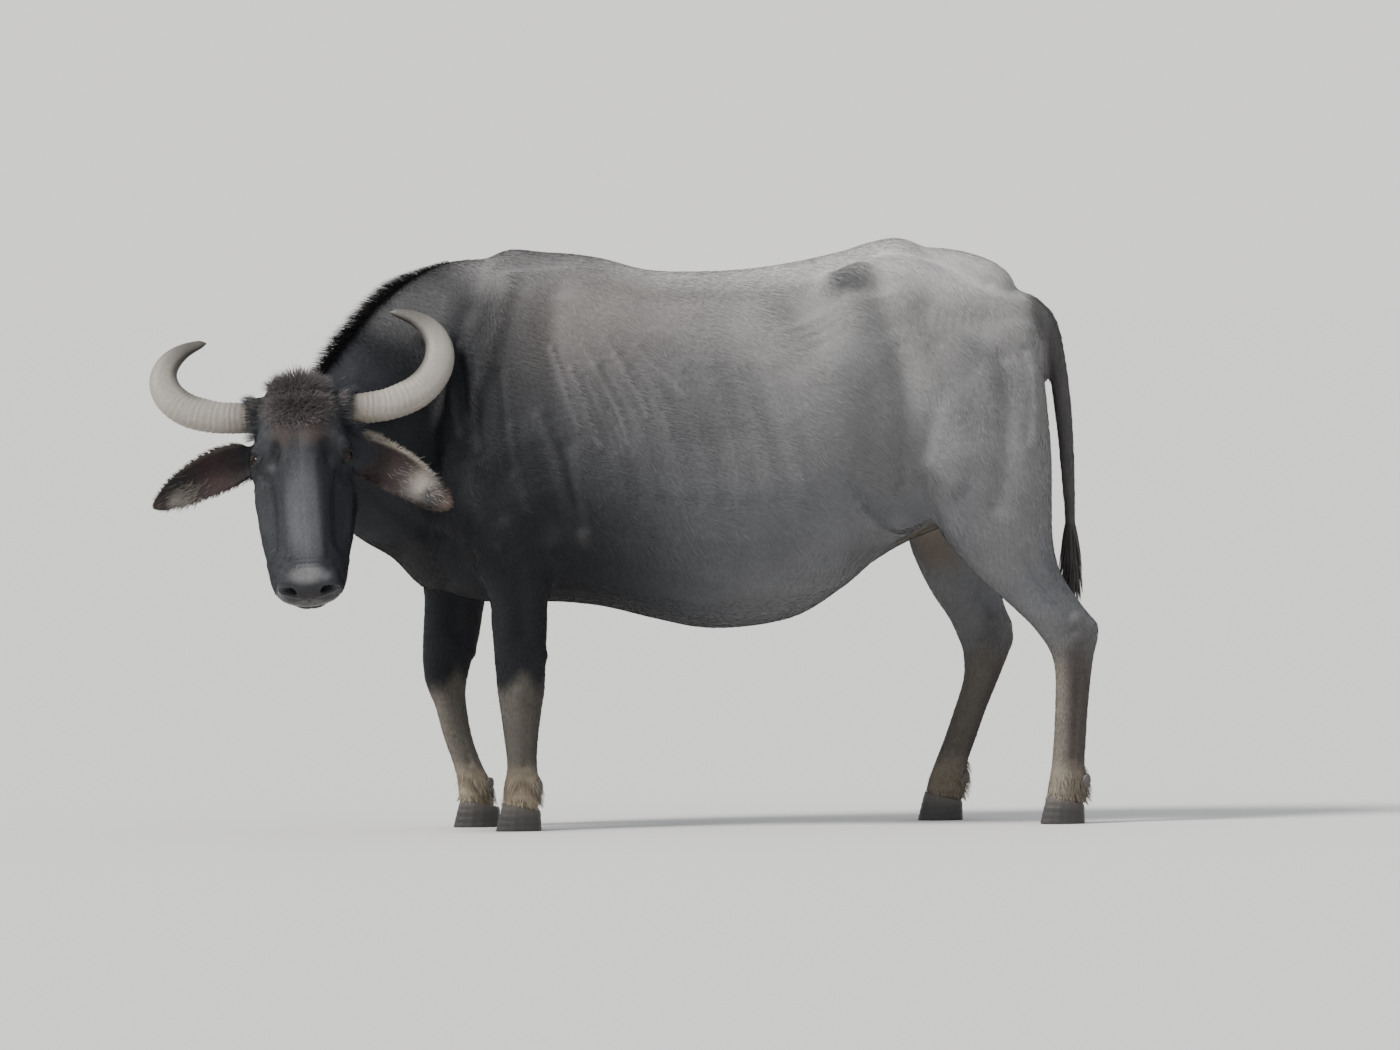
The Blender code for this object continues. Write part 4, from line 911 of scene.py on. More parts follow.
    def fuse(self) -> None:
        """Joins every form into one surface and smooths it."""
        work = bmesh.new()
        self.add_torso(work)
        self.add_neck(work)
        self.add_head(work)
        self.add_muscle(work)
        for outline, breadths, side in LEGS:
            self.add_leg(work, outline, breadths, side)
        tail = smooth_rows(TAIL, 3)
        loft(work, tube_rings(tail, 20) + SHIFT)
        for ear in EARS:
            loft(work, ear.rings())
        self.skin = new_object("skin", work)
        voxel_remesh(self.skin, BODY_VOXEL)
        surface = Surface(self.skin)
        ahead = AXES.ahead(surface.points)
        raw = surface.points - SHIFT
        trunk = fade(raw[:, 2], 0.56, 0.72) * (1.0 - fade(ahead, -0.06, 0.0))
        tail_part = fade(raw[:, 0], 0.835, 0.87)
        trunk *= 1.0 - 0.95 * tail_part
        surface.relax(self.trunk_blur, trunk, 0)
        head = fade(ahead, -0.06, 0.0) * (1.0 - self.ear_part(surface.points))
        surface.relax(self.head_blur, head, self.body_rounds)
        self.surface = surface

    def ear_part(self, points: np.ndarray) -> np.ndarray:
        """A share for each point, one on the ears and zero elsewhere."""
        return np.maximum(EARS[0].part(points), EARS[1].part(points))

    def sink(self) -> None:
        """Moves the skin inside the solids by the depth of the coat."""
        surface = self.surface
        ears = self.ear_part(surface.points)
        raw = surface.points - SHIFT
        feet = 1.0 - fade(raw[:, 2], 0.06, 0.14)
        depth = COAT_DEPTH * (1.0 - 0.85 * ears) * (1.0 - 0.6 * feet)
        surface.points -= surface.normals * depth[:, None]
        surface.commit()

    def press(self, folds: Sequence[Fold]) -> None:
        """Sets forms given by x and z into both flanks."""
        surface = self.surface
        tree = self.tree()
        for side in (-1.0, 1.0):
            for fold in folds:
                path = [self.on_flank(tree, x, z, side) for x, z in fold.path]
                if None not in path:
                    surface.swell(path, fold.width, fold.height)
        surface.commit()

    def shape_legs(self) -> None:
        """Sets the tendons and joints into the inner and outer faces of each leg."""
        surface = self.surface
        for (outline, breadths, side), forms in zip(LEGS, (FORE_FORMS, FORE_FORMS, HIND_FORMS, HIND_FORMS)):
            heights, fronts, rears = np.array(outline)[::-1].T
            levels, centres, halves = np.array(breadths)[::-1].T
            for form in forms:
                for face in (-1.0, 1.0):
                    path = []
                    for level, along in form.path:
                        front, rear = np.interp(level, heights, fronts), np.interp(level, heights, rears)
                        half = np.interp(level, levels, halves) * math.sqrt(max(0.0, 1.0 - along**2))
                        across = side * np.interp(level, levels, centres) + face * half
                        x = (front + rear) / 2 + (rear - front) / 2 * along
                        path.append(np.array((x, across, level)) + SHIFT)
                    surface.swell(path, form.width, form.height)
        surface.commit()

    def shape_face(self) -> None:
        """Sets the hollows and ridges of the face into the skin."""
        for side in Side:
            for form in FACE_FORMS:
                path = [AXES.point(u, side.value * v, w) for u, v, w in form.path]
                self.surface.swell(path, form.width, form.height)
        self.surface.swell([AXES.point(0.105, 0.0, 0.036), AXES.point(0.150, 0.0, 0.036)], 0.020, -0.004)
        self.surface.commit()

    def refine_face(self) -> None:
        """Halves the mesh's spacing over the face, where lids, nostrils and lips follow."""
        surface = self.surface
        local = AXES.local(surface.points)
        u, v, w = local.T
        front = (AXES.ahead(surface.points) > 0.02) & (np.abs(v) < 0.135) & (u > 0.09)
        muzzle = (u > 0.40) | (np.abs(u - EYE.u) < 0.065)
        chosen = front & (muzzle | (w > -0.02))
        work = bmesh.new()
        work.from_mesh(self.skin.data)
        work.verts.ensure_lookup_table()
        edges = [edge for edge in work.edges if chosen[edge.verts[0].index] and chosen[edge.verts[1].index]]
        bmesh.ops.subdivide_edges(work, edges=edges, cuts=1, use_grid_fill=True, smooth=0.0)
        work.to_mesh(self.skin.data)
        work.free()
        self.surface = Surface(self.skin)

    def open_eyes(self) -> None:
        """Shapes the lids and the opening in front of each eyeball."""
        surface = self.surface
        for side in Side:
            centre = np.array(EYE.centre(side))
            out, along, rise = (np.array(axis) for axis in EYE.look(side))
            offset = surface.points - centre
            index = np.nonzero((offset**2).sum(axis=1) < 0.075**2)[0]
            offset = offset[index]
            a, h, o = offset @ along, offset @ rise, offset @ out
            front = o > 0.0
            radius = np.linalg.norm(offset, axis=1)
            reach = np.clip(1.0 - (a / EYE.half_length) ** 2, 0.0, 1.0)
            lid = EYE.half_height * reach**0.75
            outside = np.abs(h) - lid
            corner = np.maximum(np.abs(a) - EYE.half_length, 0.0)
            margin = np.where(reach > 0, outside, np.hypot(h, corner))
            rim = EYE.radius + 0.0026
            well = EYE.radius - 0.0035
            near = np.exp(-((np.maximum(margin, 0.0) / 0.0075) ** 2))
            target = radius + (rim - radius) * near
            target = target + (well - rim) * (1.0 - fade(margin, -0.0018, 0.0004)) * (margin < 0.0004)
            creases = ((0.0075, -0.0016, 0.0016), (0.0125, 0.0012, 0.003), (0.0175, -0.0012, 0.0018))
            for place, height, width in creases:
                target = target + height * np.exp(-(((margin - place) / width) ** 2)) * (np.abs(h) > 0.004)
            moved = centre + offset * (target / radius)[:, None]
            surface.points[index[front]] = moved[front]
        surface.commit()

    def open_nostrils(self) -> None:
        """Sinks a comma-shaped nostril on each side of the nose pad."""
        surface = self.surface
        for side in Side:
            s = side.value
            centre = np.array(AXES.point(0.520, s * 0.046, -0.036))
            out = np.array(AXES.direction(0.70, s * 0.50, 0.50))
            along = np.array(AXES.direction(-0.45, s * 0.85, 0.0))
            along = unit(along - out * (along @ out))
            across = np.cross(out, along)
            offset = surface.points - centre
            index = np.nonzero((offset**2).sum(axis=1) < 0.055**2)[0]
            offset = offset[index]
            a, b = offset @ along, offset @ across
            bent = b * s + 9.0 * (a - 0.004) ** 2
            ring = np.sqrt((a / 0.0185) ** 2 + (bent / 0.0100) ** 2)
            facing = surface.normals[index] @ out > 0.05
            pit = -0.024 * (1.0 - fade(ring, 0.25, 1.05))
            wing = 0.0030 * np.exp(-(((ring - 1.35) / 0.30) ** 2))
            surface.points[index[facing]] += (pit + wing)[facing][:, None] * out
        surface.commit()

    def part_lips(self) -> None:
        """Draws the line of the mouth and the groove below the nose."""
        surface = self.surface
        right = [(u, -v, w) for u, v, w in MOUTH_LINE[:0:-1]]
        line = [AXES.point(*spot) for spot in right + list(MOUTH_LINE)]
        surface.swell(line, 0.0028, -0.0065)
        lower = [AXES.point(u, v, w - 0.012) for u, v, w in right[3:] + list(MOUTH_LINE[:-3])]
        surface.swell(lower, 0.0080, 0.0026)
        surface.swell([AXES.point(0.530, 0.0, -0.045), AXES.point(0.547, 0.0, -0.085)], 0.0040, -0.0028)
        for level in (0.016, 0.030):
            chin = [AXES.point(0.50 - abs(v) * 0.6, v, -0.125 - level) for v in (-0.05, -0.025, 0.0, 0.025, 0.05)]
            surface.swell(chin, 0.0035, -0.0014)
        surface.commit()

    def crease_face(self) -> None:
        """Adds the small folds beside the eyes, nose and mouth."""
        surface = self.surface
        for side in Side:
            s = side.value
            for i in range(4):
                start = (0.395 + 0.014 * i, 0.088, -0.075 - 0.004 * i)
                end = (0.400 + 0.018 * i, 0.095, -0.105)
                path = [AXES.point(u, s * v, w) for u, v, w in (start, end)]
                surface.swell(path, 0.0030, -0.0014)
            for i in range(4):
                spots = ((0.205 + 0.012 * i, 0.080), (0.216 + 0.013 * i, 0.100), (0.222 + 0.014 * i, 0.118))
                path = [AXES.point(u, s * v, -0.035 - 0.55 * (v - 0.08)) for u, v in spots]
                surface.swell(path, 0.0035, -0.0016)
            for i in range(3):
                path = [AXES.point(0.090 + 0.012 * i, s * v, 0.018 - 0.02 * i) for v in (0.045, 0.068, 0.090)]
                surface.swell(path, 0.0040, -0.0015)
            for i in range(3):
                path = [AXES.point(0.474 - 0.011 * i, s * v, -0.006) for v in (0.004, 0.020, 0.036)]
                surface.swell(path, 0.0030, -0.0012)
        surface.commit()

    def on_flank(self, tree: BVHTree, x: float, z: float, side: float) -> Vector | None:
        """The point of the flank at x and z of the drawing, seen from one side."""
        start = Vector((x + SHIFT[0], side * 1.5 + SHIFT[1], z))
        found, _, _, _ = tree.ray_cast(start, Vector((0.0, -side, 0.0)))
        return found

    def tree(self) -> BVHTree:
        """A search tree over the skin as it is now."""
        work = bmesh.new()
        work.from_mesh(self.skin.data)
        tree = BVHTree.FromBMesh(work)
        work.free()
        return tree

    def thin_out(self) -> None:
        """Brings the mesh to its budget, with most faces left on the head and feet."""
        thing = self.skin
        points = self.surface.points
        head = fade(AXES.ahead(points), 0.0, 0.05) * (points[:, 2] > 0.5)
        feet = 1.0 - fade(points[:, 2], 0.20, 0.40)
        weights = np.clip(1.0 - 0.75 * np.maximum(head, 0.4 * feet), 0.01, 1.0)
        group = thing.vertex_groups.new(name="thin")
        for level in range(1, 11):
            low, high = (level - 1) / 10, level / 10
            inside = (weights > low) & (weights <= high)
            group.add(np.nonzero(inside)[0].tolist(), high, "REPLACE")
        modifier = thing.modifiers.new("thin", "DECIMATE")
        triangles = 2 * len(thing.data.polygons)
        modifier.ratio = min(1.0, SKIN_TRIANGLES / triangles)
        modifier.vertex_group = "thin"
        modifier.vertex_group_factor = 0.00004
        modifier.use_collapse_triangulate = True
        apply_modifiers(thing)
        thing.vertex_groups.clear()
        shade_smooth(thing)
        self.surface = Surface(thing)

    def build(self) -> bpy.types.Object:
        """Builds the whole skin.

        Returns:
            The skin, which stands for the flesh nodes.
        """
        self.fuse()
        self.sink()
        self.press(FORMS)
        self.press(RIBS)
        self.shape_legs()
        self.shape_face()
        self.refine_face()
        self.open_eyes()
        self.open_nostrils()
        self.part_lips()
        self.crease_face()
        self.press(FOLDS)
        self.thin_out()
        return self.skin


COAL = (0.0150, 0.0160, 0.0190)
SLATE = (0.0520, 0.0550, 0.0620)
# Pale of the painted highlight along the crests of the flank folds
FOLD_CREST_HIGHLIGHT = (0.2700, 0.2600, 0.2550)
BROWN = (0.0620, 0.0430, 0.0360)
MUD = (0.1500, 0.1240, 0.1000)
HOCK_BROWN = (0.0660, 0.0550, 0.0510)
BEIGE = (0.2600, 0.2350, 0.2000)
CREAM = (0.4200, 0.3500, 0.2500)
DARK_SKIN = (0.0220, 0.0200, 0.0210)
REDDISH = (0.0700, 0.0420, 0.0400)


@dataclass(frozen=True)
class Marking:
    """A soft patch of another colour, as an ellipsoid of the drawing or of the head frame."""

    name: str
    centre: tuple[float, float, float]
    radii: tuple[float, float, float]
    colour: tuple[float, float, float]
    strength: float = 1.0
    on_head: bool = False

    def share(self, raw: np.ndarray, local: np.ndarray) -> np.ndarray:
        """How much of the marking each point takes, alike on both sides."""
        spots = np.array(local if self.on_head else raw)
        mirrored = self.centre[1] != 0.0
        across = np.abs(spots[:, 1]) - abs(self.centre[1]) if mirrored else spots[:, 1]
        offset = np.column_stack([spots[:, 0] - self.centre[0], across, spots[:, 2] - self.centre[2]])
        distance = np.sqrt(((offset / np.array(self.radii)) ** 2).sum(axis=1))
        return self.strength * (1.0 - fade(distance, 0.45, 1.25))


# Markings of the trunk and legs, in the drawing's own x, y and z
BODY_MARKINGS = (
    # Dust on the back and croup, with painted light from above
    Marking("dust and painted light on the croup", (0.580, 0.0, 1.400), (0.330, 0.260, 0.160), (0.560, 0.540, 0.535), 0.85),
    Marking("dust and painted light on the back", (0.150, 0.0, 1.400), (0.450, 0.250, 0.110), (0.560, 0.545, 0.538), 0.85),
    Marking("grey withers", (-0.420, 0.0, 1.390), (0.210, 0.220, 0.120), (0.190, 0.182, 0.182), 0.85),
    Marking("grey neck", (-0.690, 0.060, 1.260), (0.180, 0.120, 0.110), (0.085, 0.085, 0.088), 0.80),
    # Painted light on the thigh and buttock
    Marking("painted light on the thigh", (0.650, 0.230, 1.060), (0.100, 0.200, 0.220), (0.190, 0.187, 0.188), 0.60),
    Marking("painted light on the buttock", (0.760, 0.200, 0.820), (0.110, 0.200, 0.220), (0.225, 0.219, 0.216), 0.60),
    # Painted shade in the hollow at the rear of the thigh
    Marking("painted shade in the thigh's hollow", (0.735, 0.200, 1.130), (0.050, 0.150, 0.130), (0.120, 0.118, 0.120), 0.45),
    # Painted shade on the hook bone
    Marking("painted shade on the hook bone", (0.362, 0.220, 1.332), (0.052, 0.080, 0.036), SLATE, 0.60),
    Marking("dark flank", (0.400, 0.330, 1.140), (0.090, 0.200, 0.180), (0.105, 0.108, 0.115), 0.45),
    Marking("dark tail head", (0.830, 0.0, 1.230), (0.040, 0.070, 0.120), (0.090, 0.086, 0.086), 0.80),
    Marking("warm ribs", (-0.250, 0.300, 1.160), (0.180, 0.180, 0.120), (0.170, 0.150, 0.142), 0.50),
    Marking("dark barrel", (-0.130, 0.300, 1.035), (0.360, 0.300, 0.210), (0.044, 0.046, 0.052), 0.56),
    Marking("dark brisket", (-0.520, 0.0, 0.640), (0.160, 0.320, 0.160), COAL, 0.9),
    Marking("inner thigh", (0.560, 0.060, 0.690), (0.110, 0.070, 0.110), MUD, 0.8),
    Marking("udder skin", (0.520, 0.0, 0.700), (0.110, 0.090, 0.070), BEIGE, 0.32),
)

# Markings of the head, in its own u, v and w
HEAD_MARKINGS = (
    Marking("brown forehead", (0.060, 0.0, 0.020), (0.110, 0.105, 0.070), (0.080, 0.067, 0.063), 0.8, True),
    Marking("brown brow", (0.130, 0.045, 0.020), (0.040, 0.034, 0.035), BROWN, 0.45, True),
    Marking("grey bridge", (0.330, 0.0, 0.010), (0.170, 0.048, 0.050), (0.105, 0.108, 0.118), 0.85, True),
    Marking("grey forehead side", (0.110, 0.085, 0.010), (0.050, 0.030, 0.040), SLATE, 0.7, True),
    # Painted shade in the hollow at the inner corner of each eye
    Marking("painted shade inside the eye hollow", (0.170, 0.060, 0.012), (0.034, 0.018, 0.030), COAL, 0.95, True),
    Marking("lids", (0.167, 0.115, -0.038), (0.030, 0.030, 0.032), DARK_SKIN, 0.8, True),
    Marking("pale below the eye", (0.200, 0.074, 0.000), (0.022, 0.016, 0.024), (0.10, 0.10, 0.10), 0.22, True),
    # Painted light on the top of the nose pad
    Marking("painted light atop the nose", (0.494, 0.0, -0.004), (0.030, 0.058, 0.024), (0.190, 0.190, 0.194), 0.90, True),
    Marking("nose pad", (0.540, 0.0, -0.062), (0.030, 0.075, 0.042), DARK_SKIN, 0.95, True),
    Marking("chin", (0.505, 0.0, -0.140), (0.050, 0.060, 0.028), MUD, 0.5, True),
    Marking("lip corner", (0.470, 0.090, -0.100), (0.050, 0.020, 0.020), (0.075, 0.068, 0.066), 0.5, True),
)


class Markings:
    """The colours of hide and coat, as one field that both read."""

    def __init__(self, folds: Callable[[np.ndarray], np.ndarray] | None = None) -> None:
        """Keeps the function that gives the painted highlight along the crests of the folds."""
        self.folds = folds

    def trunk(self, raw: np.ndarray) -> np.ndarray:
        """The colour of the trunk: black in front, paler behind, lighter above and darker below, partly dust and partly
        painted light and shade.
        """
        x, _, z = raw.T
        behind = fade(x + 0.413 * (z - 0.68) + 0.30, -0.08, 0.34)[:, None]
        # Lighter towards the top and darker below: dust on the back, with painted light from above and painted shade
        # below
        above = fade(z, 0.74, 1.30)[:, None]
        rear = fade(x, -0.30, 0.34)[:, None]
        low = np.array((0.034, 0.036, 0.041)) * (1 - rear) + np.array((0.128, 0.130, 0.137)) * rear
        high = np.array((0.190, 0.178, 0.172)) * (1 - rear) + np.array((0.250, 0.243, 0.238)) * rear
        barrel = low * (1 - above) + high * above
        front = np.tile(np.array(COAL) * 0.8, (len(x), 1))
        return front * (1 - behind) + barrel * behind

    def legs(self, raw: np.ndarray, colour: np.ndarray) -> np.ndarray:
        """Adds the pale stockings, the brown hocks and the tan pasterns, with painted shade on the rear of the fore
        stockings and on the far hind leg.
        """
        x, y, z = raw.T
        fore = x < 0.1
        wave = 0.016 * np.sin(38.0 * x + 21.0 * y) + 0.010 * np.sin(95.0 * y + 61.0 * x)
        stocking = 1.0 - fade(z + wave, 0.325, 0.385)
        shin = np.array(BEIGE) * np.where(y < 0, 0.44, 0.56)[:, None]
        # The rear of each fore stocking is painted darker, as painted shade on the side away from the key
        painted_shade_rear = fade(x, -0.460, -0.400) * (y < 0) + fade(x + 0.45 * (z - 0.2), -0.595, -0.540) * (y > 0)
        shin = shin * (1 - 0.45 * painted_shade_rear[:, None])
        colour = np.where(fore[:, None], colour + stocking[:, None] * (shin - colour), colour)
        low = (1.0 - fade(z + wave, 0.33, 0.55))[:, None]
        # The far hind leg is painted darker than the near one, in its hock and its pale front edge, as painted shade
        hind = np.array(HOCK_BROWN) * np.where(y < 0, 1.10, 0.86)[:, None]
        front_edge = np.where(y < 0, 0.868, 0.560 + 0.36 * z)
        pale = (1.0 - fade(x - front_edge, 0.0, 0.035))[:, None] * (1.0 - fade(z, 0.36, 0.46))[:, None]
        hind = hind + pale * (np.array(BEIGE) * np.where(y < 0, 0.62, 0.34)[:, None] - hind)
        colour = np.where(fore[:, None], colour, colour + low * (hind - colour))
        pastern = ((1.0 - fade(z, 0.110, 0.180)) * np.where(fore, 0.80, 0.35))[:, None]
        colour = colour + pastern * (np.array(CREAM) * 0.8 - colour)
        band = np.exp(-(((z + wave - 0.095) / 0.012) ** 2)) * fore
        return colour + (0.45 * band)[:, None] * (np.array(BROWN) - colour)

    def head(self, raw: np.ndarray, local: np.ndarray, ahead: np.ndarray, colour: np.ndarray) -> np.ndarray:
        """Adds the black of neck and face, with painted light on the face's right half and painted shade on its left.
        """
        share = fade(ahead, -0.05, 0.02)[:, None] * (raw[:, 2] > 0.5)[:, None]
        # The face's right half is painted lighter and its left half darker, as painted light and shade from the key on
        # its right
        side = fade(-local[:, 1], -0.06, 0.07)[:, None]
        face = np.array(COAL) * 1.5 * (1 - side) + np.array(SLATE) * 0.62 * side
        return colour + share * (face - colour)

    def tone(self, points: np.ndarray) -> np.ndarray:
        """The colour at each point of the hide.

        Args:
            points: World points, as rows.

        Returns:
            Linear red, green and blue, as rows.
        """
        raw = points - SHIFT
        local = AXES.local(points)
        ahead = AXES.ahead(points)
        colour = self.trunk(raw)
        for marking in BODY_MARKINGS:
            share = (marking.share(raw, local) * (ahead < 0.0))[:, None]
            colour = colour + share * (np.array(marking.colour) - colour)
        colour = self.legs(raw, colour)
        colour = self.head(raw, local, ahead, colour)
        on_head = (ahead > -0.02) & (np.abs(local[:, 1]) < 0.135)
        for marking in HEAD_MARKINGS:
            share = (marking.share(raw, local) * on_head)[:, None]
            colour = colour + share * (np.array(marking.colour) - colour)
        for ear in EARS:
            colour = self.ear(points, ear, colour)
        # The crests of the flank folds are painted pale, as painted highlight
        if self.folds is not None:
            pale = self.folds(points)[:, None]
            colour = colour + pale * (np.array(FOLD_CREST_HIGHLIGHT) - colour)
        tail = (fade(raw[:, 0], 0.835, 0.86) * (np.abs(raw[:, 1]) < 0.05) * fade(raw[:, 2], 0.45, 0.5))[:, None]
        return colour + tail * (np.array((0.085, 0.080, 0.080)) - colour)

    def ear(self, points: np.ndarray, ear: EarShape, colour: np.ndarray) -> np.ndarray:
        """Adds one ear's lining, its pale rim and its tip."""
        on_ear = ear.part(points)
        share, spread, depth = ear.measure(points)
        right = ear.side is Side.RIGHT
        inside = fade(depth, -0.002, 0.003)
        made = np.tile(np.array(BROWN) * 0.75, (len(points), 1))
        lining = np.tile(np.array(DARK_SKIN) * (1.3 if right else 1.0), (len(points), 1))
        red = np.exp(-(((share - 0.42) / 0.20) ** 2))[:, None]
        lining = lining + (0.6 if right else 0.35) * red * (np.array(REDDISH) - lining)
        made = made + inside[:, None] * (lining - made)
        rim = (fade(spread, 0.74, 0.94) * (0.25 if right else 0.85) * (1.0 - fade(share, 0.6, 0.8)))[:, None]
        made = made + rim * (np.array(BEIGE) - made)
        where, across, reach, wide, much = (0.78, -0.35, 0.07, 0.45, 0.4) if right else (0.70, 0.1, 0.11, 0.75, 0.80)
        pale = np.exp(-(((share - where) / reach) ** 2) - ((spread - across) / wide) ** 2)
        pale = (pale * much * (0.25 + 0.75 * inside))[:, None]
        made = made + pale * (np.array((0.40, 0.37, 0.32)) - made)
        tip = fade(share, 0.86, 0.96)[:, None]
        made = made + tip * (np.array(BROWN) * (0.8 if right else 1.4) - made)
        return colour + on_ear[:, None] * (made - colour)


class Nodes:
    """A short way to lay out a shader's nodes and links."""

    def __init__(self, tree: bpy.types.NodeTree) -> None:
        """Keeps the tree that the nodes are made in."""
        self.tree = tree

    def add(self, kind: str, links: dict | None = None, **settings: object) -> bpy.types.Node:
        """Adds a node.

        Args:
            kind: Its Blender type.
            links: Values or sockets for its inputs, by name or number.
            **settings: Its own settings.

        Returns:
            The node.
        """
        node = self.tree.nodes.new(kind)
        for name, value in settings.items():
            setattr(node, name, value)
        for name, value in (links or {}).items():
            if isinstance(value, bpy.types.NodeSocket):
                self.tree.links.new(value, node.inputs[name])
            else:
                node.inputs[name].default_value = value
        return node

    def math(self, operation: str, a: object, b: object = 0.0) -> bpy.types.NodeSocket:
        """The result of a Math node."""
        return self.add("ShaderNodeMath", {0: a, 1: b}, operation=operation).outputs[0]

    def tint(self, colour: object, factor: object) -> bpy.types.NodeSocket:
        """A colour made lighter or darker by a factor."""
        scaled = self.add("ShaderNodeVectorMath", {0: colour, "Scale": factor}, operation="SCALE")
        return scaled.outputs[0]

    def spread(self, value: object, low: float, high: float) -> bpy.types.NodeSocket:
        """A value from 0 to 1 brought between two others."""
        node = self.add("ShaderNodeMapRange", {"Value": value, "To Min": low, "To Max": high})
        return node.outputs[0]


def hide_group() -> bpy.types.NodeTree:
    """Builds the group that gives hide and hair their mottling and their fine relief."""
    group = bpy.data.node_groups.new("hide_grain", "ShaderNodeTree")
    face = group.interface
    face.new_socket("Vector", in_out="INPUT", socket_type="NodeSocketVector")
    face.new_socket("Grain", in_out="INPUT", socket_type="NodeSocketFloat")
    face.new_socket("Shade", in_out="OUTPUT", socket_type="NodeSocketFloat")
    face.new_socket("Height", in_out="OUTPUT", socket_type="NodeSocketFloat")
    nodes = Nodes(group)
    given = nodes.add("NodeGroupInput").outputs
    blotch = nodes.add("ShaderNodeTexNoise", {"Vector": given["Vector"], "Scale": 7.0, "Detail": 7.0, "Roughness": 0.62})
    fine = nodes.add("ShaderNodeTexNoise", {"Vector": given["Vector"], "Scale": given["Grain"], "Detail": 4.0})
    stretched = nodes.add("ShaderNodeMapping", {"Vector": given["Vector"], "Scale": (110.0, 330.0, 460.0)})
    stretched.inputs["Rotation"].default_value = (0.0, math.radians(-24), 0.0)
    hair = nodes.add("ShaderNodeTexNoise", {"Vector": stretched.outputs[0], "Scale": 1.0, "Detail": 3.0})
    warp = nodes.tint(fine.outputs["Color"], 0.012)
    bent = nodes.add("ShaderNodeVectorMath", {0: given["Vector"], 1: warp}, operation="ADD")
    cracks = nodes.add("ShaderNodeTexVoronoi", {"Vector": bent.outputs[0], "Scale": 62.0}, feature="DISTANCE_TO_EDGE")
    crack = nodes.add("ShaderNodeMapRange", {"Value": cracks.outputs[0], "From Max": 0.10})
    coarse = nodes.spread(blotch.outputs["Fac"], 0.66, 1.34)
    streak = nodes.spread(hair.outputs["Fac"], 0.84, 1.16)
    grain = nodes.spread(fine.outputs["Fac"], 0.86, 1.14)
    shade = nodes.math("MULTIPLY", nodes.math("MULTIPLY", coarse, streak), grain)
    height = nodes.math("ADD", nodes.math("MULTIPLY", hair.outputs["Fac"], 0.8), fine.outputs["Fac"])
    height = nodes.math("ADD", height, nodes.math("MULTIPLY", crack.outputs[0], 0.35))
    nodes.add("NodeGroupOutput", {"Shade": shade, "Height": height})
    return group


@dataclass(frozen=True)
class HideFinish:
    """Hide or hair, coloured by the tone painted on its points."""

    name: str
    roughness: float = 0.75
    specular: float = 0.22
    relief: float = 0.0016
    strength: float = 0.5
    grain: float = 210.0
    sheen: float = 0.0
    wet: bool = False

    def build(self, group: bpy.types.NodeTree) -> bpy.types.Material:
        """Builds the material.

        Args:
            group: The shared group for mottling and relief.

        Returns:
            The finished material.
        """
        material = bpy.data.materials.new(self.name)
        material.use_nodes = True
        material.node_tree.nodes.clear()
        nodes = Nodes(material.node_tree)
        where = nodes.add("ShaderNodeTexCoord").outputs["Object"]
        tone = nodes.add("ShaderNodeAttribute", attribute_name="tone").outputs["Color"]
        grain = nodes.add("ShaderNodeGroup", node_tree=group)
        nodes.tree.links.new(where, grain.inputs["Vector"])
        grain.inputs["Grain"].default_value = self.grain
        colour = nodes.tint(tone, grain.outputs["Shade"])
        bump = nodes.add("ShaderNodeBump", {"Strength": self.strength, "Distance": self.relief})
        nodes.tree.links.new(grain.outputs["Height"], bump.inputs["Height"])
        shader = nodes.add("ShaderNodeBsdfPrincipled", {"Base Color": colour, "Normal": bump.outputs[0]})
        shader.inputs["Roughness"].default_value = self.roughness
        shader.inputs["Specular IOR Level"].default_value = self.specular
        shader.inputs["Sheen Weight"].default_value = self.sheen
        if self.wet:
            damp = nodes.add("ShaderNodeAttribute", attribute_name="wet").outputs["Fac"]
            nodes.tree.links.new(nodes.spread(damp, self.roughness, 0.26), shader.inputs["Roughness"])
        nodes.add("ShaderNodeOutputMaterial", {"Surface": shader.outputs[0]})
        return material


def paint(thing: bpy.types.Object, name: str, colours: np.ndarray) -> None:
    """Writes a colour for each point of a mesh.

    Args:
        thing: The object.
        name: The name of the attribute.
        colours: Linear red, green and blue, as rows.
    """
    attribute = thing.data.color_attributes.new(name, "FLOAT_COLOR", "POINT")
    full = np.ones((len(colours), 4), np.float32)
    full[:, :3] = np.clip(colours, 0.0, 1.0)
    attribute.data.foreach_set("color", full.ravel())


def mark(thing: bpy.types.Object, name: str, values: np.ndarray) -> None:
    """Writes a number for each point of a mesh."""
    attribute = thing.data.attributes.new(name, "FLOAT", "POINT")
    attribute.data.foreach_set("value", values.astype(np.float32))


class FoldCrestHighlight:
    """How much each point of the flanks shares in the painted highlight along the crest of a fold."""

    def __init__(self, flesh: Flesh) -> None:
        """Finds the line of each fold with a painted highlight on the finished skin."""
        tree = flesh.tree()
        self.lines = []
        for side in (-1.0, 1.0):
            for fold in FOLDS:
                path = [flesh.on_flank(tree, x, z, side) for x, z in fold.path]
                if fold.tint > 0 and None not in path:
                    self.lines.append((smooth_rows(path, 12), fold.width, 0.42 * fold.tint))

    def __call__(self, points: np.ndarray) -> np.ndarray:
        """The share of painted highlight at each point."""
        share = np.zeros(len(points))
        for line, width, tint in self.lines:
            reach = 2.5 * width
            low, high = line.min(axis=0) - reach, line.max(axis=0) + reach
            index = np.nonzero(np.all((points > low) & (points < high), axis=1))[0]
            if not len(index):
                continue
            nearest = np.min(((points[index, None] - line[None]) ** 2).sum(axis=2), axis=1)
            share[index] = np.maximum(share[index], tint * np.exp(-nearest / (0.8 * width) ** 2))
        return share


